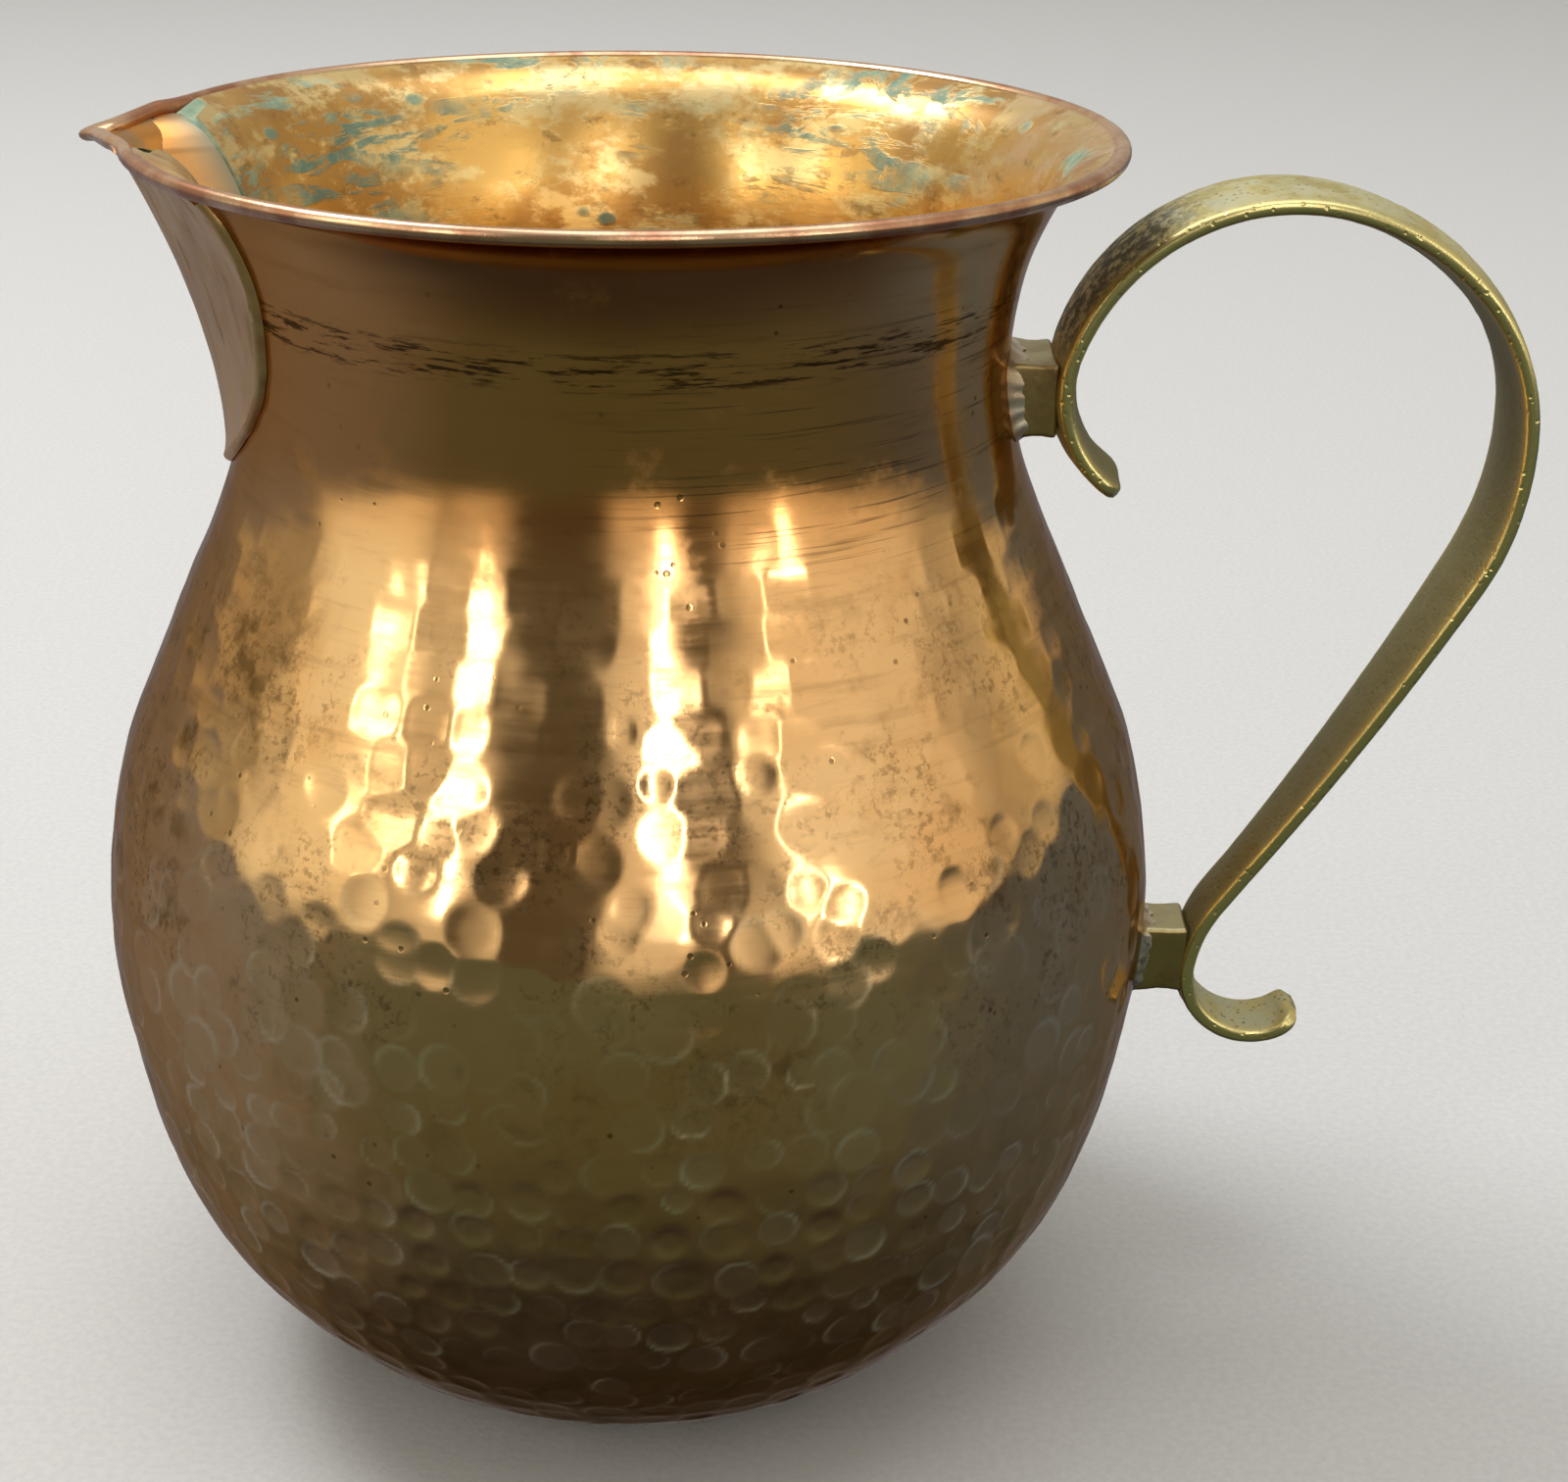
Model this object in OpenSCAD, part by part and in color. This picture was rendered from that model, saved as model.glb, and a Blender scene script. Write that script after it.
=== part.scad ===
// Hammered copper jug with a soldered pouring spout and a brass strap handle.
// Millimetres. The jug stands on Z = 0 with its axis on Z. The handle points
// along +X and the spout along -X.

/* [Body] */
// Height from the table to the top of the rolled rim
jug_h = 156; // [125:1:190]
// Largest outside radius of the belly
belly_r = 65; // [54:0.5:78]
// Height of the belly's widest part
belly_z = 62.4; // [52:0.2:75]
// Outside radius at the narrowest part of the neck
neck_r = 44.8; // [37:0.2:50]
// Height of the flared mouth, from the narrowest part to the top of the rim
mouth_h = 26.2; // [21:0.2:32]
// Outside radius of the rolled rim
rim_r = 57.4; // [52:0.2:69]
// Radius of the flat base
base_r = 25; // [20:0.5:30]
// Thickness of the copper sheet
wall = 1.1; // [0.9:0.1:1.6]
// Radius of the rolled edge of the rim
bead_r = 0.9; // [0.7:0.05:1.1]

/* [Spout] */
// How far the tip of the spout stands out from the rim
spout_out = 4; // [3:0.1:8]
// Height of the spout panel, from its lower point to the rim
spout_h = 38; // [31:1:46]
// Thickness of the spout sheet
spout_t = 0.9; // [0.7:0.05:1.2]
// How far the tip dips below the top of the rim
tip_dip = 1.6; // [0.5:0.1:3]
// How much the lip of the spout turns outwards at the tip
tip_flare = 2.6; // [1.5:0.1:3.5]
// Half width of the opening in the neck, where the rim is cut
mouth_half = 16.5; // [13.5:0.25:20]
// Half width of the opening just below the rim
slot_half = 9; // [7:0.25:10]
// Gap between the spout sheet and the neck that it lies on
lap_gap = 0.03; // [0.02:0.01:0.08]
// Width of the solder line along the edge of the spout
seam_w = 1.5; // [1:0.1:2]
// Gap between the solder line and the spout panel's edge
seam_gap = 0.04; // [0.03:0.01:0.1]

/* [Handle strap] */
// Width of the strap over the hand
strap_w = 16; // [13:0.5:18]
// Width of the strap at its lower scroll
strap_w_low = 9.2; // [8:0.2:11]
// Thickness of the strap at its edges
strap_edge = 1.7; // [1.4:0.1:2.2]
// Thickness of the strap along its middle
strap_mid = 3.6; // [2.6:0.1:4]
// Bend radius of the upper scroll
scroll_top_r = 14; // [13:0.5:15]
// Bend radius of the strap where it rises from the upper post
arch_r = 26.2; // [25.6:0.1:27]
// Bend radius over the hand
crown_r = 32; // [31:0.25:33]
// Bend radius at the far corner
corner_r = 25.6; // [25:0.1:26.4]
// Bend radius below the far corner
elbow_r = 37; // [36:0.25:38]
// Length of the nearly straight leg
leg_l = 51.6; // [50:0.2:53]
// Bend radius above the lower post
heel_r = 19; // [18:0.5:20]
// Bend radius of the lower scroll
scroll_low_r = 8.7; // [8.2:0.1:9.2]
// Bend radius at the tip of the lower scroll
scroll_tip_r = 5.5; // [5:0.25:6.5]

/* [Posts] */
// How far the upper post's centre lies below the top of the rim
post_drop = 30.1; // [26:0.1:36]
// Height of each post
post_h = 9; // [7:0.25:11]
// Width of the upper post
post_w_up = 13.4; // [11:0.2:15]
// Width of the lower post
post_w_low = 8.4; // [7:0.2:9]
// Least distance from the neck to the middle of the strap
gap_up = 6; // [5:0.25:8]
// Least distance from the belly to the middle of the strap
gap_low = 6.3; // [5:0.25:8]
// How far the solder reaches around each post
solder_w = 1.5; // [1:0.1:2]
// Thickness of the solder at each post
solder_t = 1.1; // [0.8:0.1:1.6]

/* [Hidden] */
$fn = 96;
COPPER = [0.72, 0.42, 0.24];
BRASS = [0.70, 0.60, 0.30];
SOLDER = [0.74, 0.73, 0.68];

// ---- outline of the body, from the base to the rim ----
z_rim = jug_h - bead_r;
neck_z = jug_h - mouth_h;
// Heights between the belly and the neck, and between the neck and the rim.
function shoulder_z(f) = belly_z + f * (neck_z - belly_z);
function flare_z(f) = neck_z + f * mouth_h;
knots = [
  [base_r, 0], [base_r + 7.6, 0.0213 * belly_z], [0.60 * belly_r, 0.0825 * belly_z],
  [0.70 * belly_r, 0.1625 * belly_z], [0.832 * belly_r, 0.32 * belly_z],
  [0.912 * belly_r, 0.48 * belly_z], [0.970 * belly_r, 0.7125 * belly_z],
  [belly_r, belly_z], [0.963 * belly_r, shoulder_z(0.259)],
  [0.872 * belly_r, shoulder_z(0.484)],
  [0.5 * (0.80 * belly_r + neck_r + 3.2), shoulder_z(0.706)],
  [neck_r + 1.6, shoulder_z(0.854)], [neck_r, neck_z],
  [neck_r + 1.3, flare_z(0.405)], [neck_r + 4.1, flare_z(0.696)],
  [neck_r + 0.56 * (rim_r - neck_r), flare_z(0.863)],
  [rim_r - bead_r - 0.6, z_rim - 0.5 * bead_r]
];
nk = len(knots);
function knot(i) = knots[max(0, min(nk - 1, i))];
// A smooth curve through the knots: each span is a cubic with slopes from its neighbours.
function span(i, u) =
  let (p0 = i == 0 ? [2 * knot(0)[0] - knot(1)[0], 0] : knot(i - 1),
       p1 = knot(i), p2 = knot(i + 1), p3 = knot(i + 2))
  0.5 * (2 * p1 + (p2 - p0) * u + (2 * p0 - 5 * p1 + 4 * p2 - p3) * u * u
         + (3 * p1 - p0 - 3 * p2 + p3) * u * u * u);
STEPS = 5;
outer_line = [for (i = [0 : nk - 2]) for (j = [0 : STEPS - 1]) span(i, j / STEPS), knot(nk - 1)];
no = len(outer_line);
// The sheet's inside, one wall thickness in from the outside.
function unit(v) = v / norm(v);
function side(i) =
  let (a = outer_line[max(0, i - 1)], b = outer_line[min(no - 1, i + 1)], d = unit(b - a))
  [-d[1], d[0]];
inner_line = [for (i = [0 : no - 1]) let (q = outer_line[i] + wall * side(i)) [q[0], max(wall, q[1])]];
// Outside radius of the body at a height.
function body_r(z, i = 1) =
  i >= no - 1 || outer_line[i][1] >= z
    ? let (a = outer_line[i - 1], b = outer_line[i])
      a[0] + (b[0] - a[0]) * max(0, min(1, (z - a[1]) / max(0.001, b[1] - a[1])))
    : body_r(z, i + 1);

// The rolled rim is a round bead on the end of the sheet.
bead_c = [rim_r - bead_r, z_rim];
bead_pts = [for (a = [-125 : 15 : 150]) bead_c + bead_r * [cos(a), sin(a)]];

module body_solid() {
  rotate_extrude() polygon(concat([[0, -1], [base_r, -1]], outer_line, [[0, z_rim]]));
}

module jug_body() {
  color(COPPER) difference() {
    rotate_extrude() polygon(concat(
      [[0, 0]], [for (i = [0 : no - 2]) outer_line[i]], bead_pts,
      [for (i = [no - 2 : -1 : 1]) inner_line[i]], [[0, wall]]));
    mouth_cut();
  }
}

// The opening in the neck behind the spout: wide at the rim, then a narrow V.
module mouth_cut() {
  h = [[mouth_half, jug_h + 1], [mouth_half, jug_h - 2.6], [1.3 * slot_half, jug_h - 4.6],
       [slot_half, jug_h - 8], [0.85 * slot_half, jug_h - 0.37 * spout_h],
       [0.5 * slot_half, jug_h - 0.68 * spout_h], [0.12 * slot_half, jug_h - 0.86 * spout_h]];
  n = len(h);
  translate([-neck_r * 0.5, 0, 0]) rotate([90, 0, -90])
    linear_extrude(rim_r + 10 - neck_r * 0.5)
      polygon(concat(h, [for (i = [n - 1 : -1 : 0]) [-h[i][0], h[i][1]]]));
}

// ---- spout: a folded sheet panel lapped on the outside of the neck ----
z_foot = jug_h - spout_h;
z_lip = jug_h - 5;
soft = 2.6;
function clamp01(x) = max(0, min(1, x));
keel_top = rim_r + spout_out - tip_flare - 0.2;
keel_foot = body_r(z_foot) + spout_t + lap_gap + 0.35;
function keel(z) =
  keel_foot + (keel_top - keel_foot) * pow(clamp01((z - z_foot) / (z_lip + 1 - z_foot)), 1.75)
  + tip_flare * pow(clamp01((z - z_lip) / (5 - tip_dip)), 2);
// The gap widens a little below the rim and at the foot, where the neck curves most.
function lap(z) = lap_gap + 0.16 * pow(clamp01((z - jug_h + 10) / 7), 2)
  + 0.1 * (1 - clamp01((z - z_foot) / 8));
function sheet_r(z) = body_r(z) + lap(z) + spout_t;
function lean(z) = acos(min(0.9999, sheet_r(z) / max(keel(z), sheet_r(z) + 0.02))) + soft;
function edge_angle(z) = lean(z) + 1.5 - 2.5 * pow(1 - clamp01((z - z_foot) / 12), 2);
// Distance from the axis to the sheet: a flat side that meets the neck as a tangent.
function sheet(z, a, inset) =
  let (b = sqrt(a * a + soft * soft), e = lean(z))
  (sheet_r(z) - inset) / (b < e ? cos(e - b) : 1);
LV = 30;
AC = 20;
function level(i) = i / LV;
function spout_pt(i, j, inset) =
  let (v = 2 * j / AC - 1,
       ztop = jug_h - 0.15 - (tip_dip - 0.15) * pow(1 - abs(v), 2) * (2 - pow(1 - abs(v), 2)),
       z = z_foot + (ztop - z_foot) * level(i),
       a = v * edge_angle(z),
       r = sheet(z, a, inset))
  [-r * cos(a), -r * sin(a), z];
SP = (LV + 1) * (AC + 1);
function at(s, i, j) = s * SP + i * (AC + 1) + j;

module spout() {
  pts = concat([for (i = [0 : LV]) for (j = [0 : AC]) spout_pt(i, j, 0)],
               [for (i = [0 : LV]) for (j = [0 : AC]) spout_pt(i, j, spout_t)]);
  skin = [for (i = [0 : LV - 1]) for (j = [0 : AC - 1]) each [
    [at(0, i, j), at(0, i + 1, j), at(0, i, j + 1)],
    [at(0, i, j + 1), at(0, i + 1, j), at(0, i + 1, j + 1)],
    [at(1, i, j), at(1, i, j + 1), at(1, i + 1, j)],
    [at(1, i, j + 1), at(1, i + 1, j + 1), at(1, i + 1, j)]]];
  rows = [for (j = [0 : AC - 1]) each [
    [at(0, 0, j), at(0, 0, j + 1), at(1, 0, j)],
    [at(0, 0, j + 1), at(1, 0, j + 1), at(1, 0, j)],
    [at(0, LV, j), at(1, LV, j), at(0, LV, j + 1)],
    [at(0, LV, j + 1), at(1, LV, j), at(1, LV, j + 1)]]];
  flanks = [for (i = [0 : LV - 1]) each [
    [at(0, i, 0), at(1, i, 0), at(0, i + 1, 0)],
    [at(0, i + 1, 0), at(1, i, 0), at(1, i + 1, 0)],
    [at(0, i, AC), at(0, i + 1, AC), at(1, i, AC)],
    [at(0, i + 1, AC), at(1, i + 1, AC), at(1, i, AC)]]];
  color(COPPER) difference() {
    polyhedron(pts, concat(skin, rows, flanks), convexity = 6);
    for (s = [-1, 1])
      translate([-neck_r, s * (mouth_half - 0.25 + 30), jug_h - 4.2 + 10])
        cube([80, 60, 20], center = true);
  }
}

// ---- solder line along the edge of the spout panel: down one side, across, up the other ----
seam_top = jug_h - 4.6;
function edge_z(i) = z_foot + (jug_h - 0.15 - z_foot) * level(i);
side_z = [for (i = [0 : LV]) if (edge_z(i) < seam_top - 0.5) edge_z(i), seam_top];
ns = len(side_z);
foot_a = edge_angle(z_foot);
edge_line = concat([for (k = [ns - 1 : -1 : 0]) [edge_angle(side_z[k]), side_z[k]]],
  [for (k = [1 : 23]) [foot_a * (1 - k / 12), z_foot]],
  [for (k = [0 : ns - 1]) [-edge_angle(side_z[k]), side_z[k]]]);
ne = len(edge_line);
// An edge point moved across the neck by off and outwards from it by h.
function seam_pt(i, off, h) =
  let (e = edge_line[i], a = edge_line[max(0, i - 1)], b = edge_line[min(ne - 1, i + 1)],
       mm = body_r(e[1]) / 57.29578, t = unit([(b[0] - a[0]) * mm, b[1] - a[1]]),
       ang = e[0] - off * t[1] / mm, z = e[1] + off * t[0],
       r = body_r(z) + lap(z) + 0.03 + h)
  [-r * cos(ang), -r * sin(ang), z];
module spout_seam() {
  pts = [for (i = [0 : ne - 1]) each [seam_pt(i, seam_gap, 0), seam_pt(i, seam_w, 0),
         seam_pt(i, 0.55 * seam_w, 0.65 * spout_t), seam_pt(i, seam_gap, spout_t)]];
  last = 4 * (ne - 1);
  faces = concat([[0, 1, 2, 3]], [[last + 3, last + 2, last + 1, last]],
    [for (k = [0 : ne - 2]) for (j = [0 : 3]) let (a = 4 * k + j, b = 4 * k + (j + 1) % 4)
      each [[a, a + 4, b], [b, a + 4, b + 4]]]);
  color(SOLDER) polyhedron(pts, faces, convexity = 6);
}

// ---- handle strap: one flat bar bent in a chain of arcs ----
// Each row is a bend radius and its turn in degrees; the strap starts at its upper scroll.
bends = [[scroll_top_r, -78], [arch_r, -85], [crown_r, -34], [corner_r, -39], [elbow_r, -32],
         [leg_l / 7.3 * 57.3, -7.3], [heel_r, 27.6], [scroll_low_r, 116], [scroll_tip_r, 42]];
function steps(b) = max(2, ceil(abs(b[1]) / 6.5)) + (b[0] > 100 ? 6 : 0);
function walk(k, p, a) =
  k >= len(bends) ? [] :
  let (b = bends[k], n = steps(b), t = b[1] / n, l = abs(b[0] * t) / 57.29578,
       q = run(p, a, t, l, n))
  concat([for (i = [1 : n]) q[i]], walk(k + 1, [q[n][0], q[n][1]], a + b[1]));
function run(p, a, t, l, n, i = 0) =
  i > n ? [] :
  concat([[p[0], p[1], a + t * i]],
         run(p + l * [cos(a + t * (i + 0.5)), sin(a + t * (i + 0.5))], a, t, l, n, i + 1));
raw = concat([[0, 0, 150]], walk(0, [0, 0], 150));
np = len(raw);
// The strap stands against the posts where it runs straight up and straight down.
i_up = [for (i = [0 : np - 2]) if (raw[i][2] >= 90 && raw[i + 1][2] < 90) i][0];
x_up = raw[i_up][0];
i_low = [for (i = [np - 2 : -1 : 1]) if (raw[i][2] < -90 && raw[i + 1][2] >= -90) i][0];
z_up = jug_h - post_drop;
z_low = z_up + raw[i_low][1] - raw[i_up][1] + 2.4;
shift_x = max(body_r(z_up) + gap_up - x_up, body_r(z_low) + gap_low - raw[i_low][0]);
shift_z = z_up - raw[i_up][1] + 0.6;
i_leg = i_up + 34;
function width_at(i) =
  let (f = clamp01((i - i_leg) / 16), w = strap_w + (strap_w_low - strap_w) * f,
       e = min(i, np - 1 - i))
  w * (e == 0 ? 0.45 : e == 1 ? 0.86 : 1);
path = [for (i = [0 : np - 1]) [raw[i][0] + shift_x, raw[i][1] + shift_z, raw[i][2], width_at(i)]];
// Half the thickness at the ridge: a narrow stretch of the strap is also thinner.
function ridge(s) = (strap_edge + (strap_mid - strap_edge) * clamp01(s[3] / strap_w * 1.05)) / 2;
function strap_ring(s) =
  let (n = [-sin(s[2]), cos(s[2])], w = s[3] / 2, e = strap_edge / 2, c = ridge(s))
  [for (q = [[-1, -e], [-0.55, -(e + 0.7 * (c - e))], [0, -c], [0.55, -(e + 0.7 * (c - e))],
             [1, -e], [1, e], [0.55, e + 0.7 * (c - e)], [0, c], [-0.55, e + 0.7 * (c - e)],
             [-1, e]])
    [s[0] + n[0] * q[1], q[0] * w, s[1] + n[1] * q[1]]];
RN = 10;
module handle_strap() {
  pts = [for (s = path) each strap_ring(s)];
  last = RN * (np - 1);
  faces = concat([[for (j = [0 : RN - 1]) j]], [[for (j = [RN - 1 : -1 : 0]) last + j]],
    [for (k = [0 : np - 2]) for (j = [0 : RN - 1])
      let (a = RN * k + j, b = RN * k + (j + 1) % RN)
      each [[a, a + RN, b], [b, a + RN, b + RN]]]);
  color(BRASS) polyhedron(pts, faces, convexity = 10);
}

// ---- posts: brass blocks between the jug and the strap ----
// The side of the strap that faces the jug, as a line in the XZ plane.
function face_pt(s, g) = [s[0] + sin(s[2]) * g, s[1] - cos(s[2]) * g];
module post(z, w, i0, i1) {
  g = max([for (i = [i0 : i1]) ridge(path[i])]) + 0.02;
  line = [for (i = [i0 : i1]) face_pt(path[i], -g * sign(path[i][2]))];
  intersection() {
    difference() {
      translate([0, -w / 2, z - post_h / 2]) cube([line[0][0] + 30, w, post_h]);
      body_solid();
    }
    rotate([90, 0, 0]) translate([0, 0, -w])
      linear_extrude(2 * w) polygon(concat(line, [[0, line[i1 - i0][1]], [0, line[0][1]]]));
  }
}
module upper_post() { color(BRASS) post(z_up, post_w_up, i_up - 9, i_up + 8); }
module lower_post() { color(BRASS) post(z_low, post_w_low, i_low - 7, i_low + 8); }

// ---- solder around the root of each post ----
module solder(z, w) {
  r = body_r(z);
  difference() {
    intersection() {
      translate([r - 6, -w / 2 - solder_w, z - post_h / 2 - solder_w])
        cube([6 + solder_t + 4, w + 2 * solder_w, post_h + 2 * solder_w]);
      rotate_extrude() polygon([for (k = [-3 : 3]) let (h = z + k * (post_h / 2 + solder_w + 1) / 3)
        [body_r(h) + solder_t, h], for (k = [3 : -1 : -3]) let (h = z + k * (post_h / 2 + solder_w + 1) / 3)
        [body_r(h) - 5, h]]);
    }
    body_solid();
    translate([r - 9, -w / 2, z - post_h / 2]) cube([40, w, post_h]);
  }
}
module upper_solder() { color(SOLDER) solder(z_up, post_w_up); }
module lower_solder() { color(SOLDER) solder(z_low, post_w_low); }

jug_body();
spout();
spout_seam();
handle_strap();
upper_post();
lower_post();
upper_solder();
lower_solder();
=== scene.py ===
import math

import bmesh
import bpy
import numpy as np
from bpy.props import FloatProperty, FloatVectorProperty, IntProperty, PointerProperty
from mathutils import Matrix, Vector, noise


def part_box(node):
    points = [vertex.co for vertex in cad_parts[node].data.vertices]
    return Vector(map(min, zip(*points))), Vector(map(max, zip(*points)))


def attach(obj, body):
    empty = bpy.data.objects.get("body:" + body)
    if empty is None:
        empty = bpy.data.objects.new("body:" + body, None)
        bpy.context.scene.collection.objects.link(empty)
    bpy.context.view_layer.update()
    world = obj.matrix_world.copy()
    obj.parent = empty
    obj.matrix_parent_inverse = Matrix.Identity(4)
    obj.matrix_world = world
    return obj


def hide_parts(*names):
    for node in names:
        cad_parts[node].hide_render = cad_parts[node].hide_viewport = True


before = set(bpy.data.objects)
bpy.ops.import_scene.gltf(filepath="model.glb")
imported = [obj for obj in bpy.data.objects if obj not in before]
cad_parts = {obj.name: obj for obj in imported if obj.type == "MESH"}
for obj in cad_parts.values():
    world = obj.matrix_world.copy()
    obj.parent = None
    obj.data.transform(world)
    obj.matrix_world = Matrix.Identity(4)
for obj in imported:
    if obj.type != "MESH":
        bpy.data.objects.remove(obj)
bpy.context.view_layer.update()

bl_info = {
    "name": "Hammered Copper Jug",
    "version": (1, 0, 0),
    "blender": (4, 5, 0),
    "location": "View3D > Sidebar > Jug",
    "description": "Builds a hammered copper jug with a soldered spout and a brass strap handle",
    "category": "Add Mesh",
}

MM = 0.001
COLUMNS = 780          # points in each ring of the body
ROW_STEP = 0.55 * MM   # distance between the body's rings and the strap's
FOLD_SOFT = 2.6        # degrees over which the spout's fold is rounded
SHARP_ANGLE = 48       # degrees, above which an edge stays sharp
SLOT_FOOT = 0.118      # height above which the body's inside has as many rings as its outside
CAMERA_PLACE = (0.01895, -0.31731, 0.21174)
CAMERA_TURN = 3.4      # degrees around the jug from its front
CAMERA_LENS = 63.0
CAMERA_TILT = 22.565   # degrees
CAMERA_ROLL = 0.932    # degrees
BODY_LOW, BODY_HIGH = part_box("jug_body")
STRAP_LOW, STRAP_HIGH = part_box("handle_strap")
# The opening in the neck behind the spout: its half width at each height, in metres.
SLOT_HEIGHTS = [0.1225, 0.124, 0.131, 0.138, 0.144, 0.148, 0.151, 0.153, 0.1544, 0.1550, 0.157]
SLOT_WIDTHS = [0.0, 0.0012, 0.0044, 0.0060, 0.0070, 0.0075, 0.0078, 0.0088, 0.0100, 0.0162,
               0.0163]


# ---------------------------------------------------------------- sizes and finishes

def size(name, description, default):
    return FloatProperty(name=name, description=description, default=default, unit="LENGTH")


def tint(name, description, default):
    return FloatVectorProperty(name=name, description=description, default=default,
                               subtype="COLOR")


class JugSizes(bpy.types.PropertyGroup):
    height: size("Height", "Table to the top of the rolled rim", BODY_HIGH.z)
    belly_radius: size("Belly radius", "Largest outside radius", BODY_HIGH.x)
    neck_radius: size("Neck radius", "Outside radius at the narrowest part of the neck", 0.0448)
    rim_radius: size("Rim radius", "Outside radius of the rolled rim", 0.0574)
    base_radius: size("Base radius", "Radius of the flat base", 0.025)
    wall: size("Wall", "Thickness of the copper sheet", 0.0011)
    bead_radius: size("Bead radius", "Radius of the rolled edge", 0.0009)
    mark_pitch: size("Hammer mark pitch", "Distance between hammer marks in a ring", 0.0056)
    ring_pitch: size("Ring pitch", "Distance between rings of hammer marks", 0.0051)
    mark_depth: size("Hammer mark depth", "Depth of an average hammer mark", 0.00013)
    hammered_top: size("Top of the hammered part", "Height where the hammer marks fade out", 0.124)
    seed: IntProperty(name="Seed", description="Start value for the marks' places", default=7)


class SpoutSizes(bpy.types.PropertyGroup):
    reach: size("Reach", "Jug's axis to the tip of the spout", 0.0614)
    panel_height: size("Panel height", "Foot of the spout panel to the rim", 0.038)
    sheet: size("Sheet", "Thickness of the spout panel", 0.0009)
    tip_dip: size("Tip dip", "How far the tip lies below the rim", 0.0016)
    tip_flare: size("Tip flare", "How much the lip turns outwards at the tip", 0.0026)
    seam_width: size("Seam width", "Width of the solder line", 0.0009)


class HandleSizes(bpy.types.PropertyGroup):
    width: size("Width", "Strap width over the hand", 0.016)
    width_low: size("Lower width", "Strap width at the lower scroll", 0.0092)
    edge: size("Edge", "Strap thickness at its edges", 0.0017)
    middle: size("Middle", "Strap thickness along its middle", 0.0036)
    corner: size("End corner", "Corner radius of the strap's two ends", 0.0026)
    roughness: size("Cast roughness", "Height of the cast surface's grain", 0.00007)


class JugFinish(bpy.types.PropertyGroup):
    copper: tint("Copper", "Clean copper", (0.86, 0.57, 0.30))
    copper_warm: tint("Warm copper", "Orange patches", (0.80, 0.47, 0.21))
    tarnish: tint("Tarnish", "Brown tarnish", (0.20, 0.115, 0.045))
    rim: tint("Rim", "Pinkish worn edge", (0.84, 0.56, 0.38))
    verdigris: tint("Verdigris", "Blue-green patina", (0.09, 0.27, 0.24))
    brass: tint("Brass", "Polished brass edges", (0.78, 0.70, 0.34))
    brass_dull: tint("Dull brass", "Brass faces", (0.50, 0.45, 0.21))
    oxide: tint("Oxide", "Grey-green bloom on the brass", (0.50, 0.52, 0.40))
    solder: tint("Solder", "Silver solder", (0.78, 0.72, 0.62))


# ---------------------------------------------------------------- shapes

def knots(s):
    """The body's outside line, as radius and height, from the base to the rim."""
    h, b, n, r = s.height, s.belly_radius, s.neck_radius, s.rim_radius
    z_rim = h - s.bead_radius
    return [
        (s.base_radius, 0.0), (s.base_radius + 7.6 * MM, 0.0085 * h),
        (0.60 * b, 0.033 * h), (0.70 * b, 0.065 * h), (0.832 * b, 0.128 * h),
        (0.912 * b, 0.192 * h), (0.970 * b, 0.285 * h), (b, 0.400 * h),
        (0.963 * b, 0.512 * h), (0.872 * b, 0.609 * h),
        (0.5 * (0.80 * b + n + 3.2 * MM), 0.705 * h), (n + 1.6 * MM, 0.769 * h),
        (n, 0.832 * h), (n + 1.3 * MM, 0.900 * h), (n + 4.1 * MM, 0.949 * h),
        (n + 0.56 * (r - n), 0.977 * h),
        (r - s.bead_radius - 0.6 * MM, z_rim - 0.5 * s.bead_radius),
    ]


def smooth_line(points, steps=12):
    """A Catmull-Rom curve through the points, as an array."""
    p = np.array(points, float)
    first = np.array([2 * p[0][0] - p[1][0], p[0][1]])
    p = np.vstack([first, p, p[-1] * 2 - p[-2]])
    out = []
    for i in range(1, len(p) - 2):
        for u in np.linspace(0, 1, steps, endpoint=False):
            a, b, c, d = p[i - 1], p[i], p[i + 1], p[i + 2]
            out.append(0.5 * (2 * b + (c - a) * u + (2 * a - 5 * b + 4 * c - d) * u * u
                              + (3 * b - a - 3 * c + d) * u ** 3))
    out.append(p[-2])
    return np.array(out)


def along(line):
    """Distance along a line of points."""
    return np.concatenate([[0], np.cumsum(np.linalg.norm(np.diff(line, axis=0), axis=1))])


def resample(line, step):
    """The same line with points an even distance apart."""
    d = along(line)
    n = max(2, int(round(d[-1] / step)))
    t = np.linspace(0, d[-1], n + 1)
    return np.stack([np.interp(t, d, line[:, k]) for k in range(line.shape[1])], axis=1)


def ramp(x, a, b):
    """A smooth step from 0 at a to 1 at b."""
    t = np.clip((np.asarray(x, float) - a) / (b - a), 0, 1)
    return t * t * (3 - 2 * t)


def rim_warp(t):
    """The rim isn't quite level: its lift at each turn from the spout."""
    return -0.22 * MM * (0.5 + 0.3 * np.cos(2 * t + 0.7) + 0.2 * np.cos(5 * t))


class Profile:
    """The body's outside line, with its radius at any height."""

    def __init__(self, s):
        self.line = smooth_line(knots(s))

    def radius(self, z):
        return np.interp(z, self.line[:, 1], self.line[:, 0])


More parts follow.
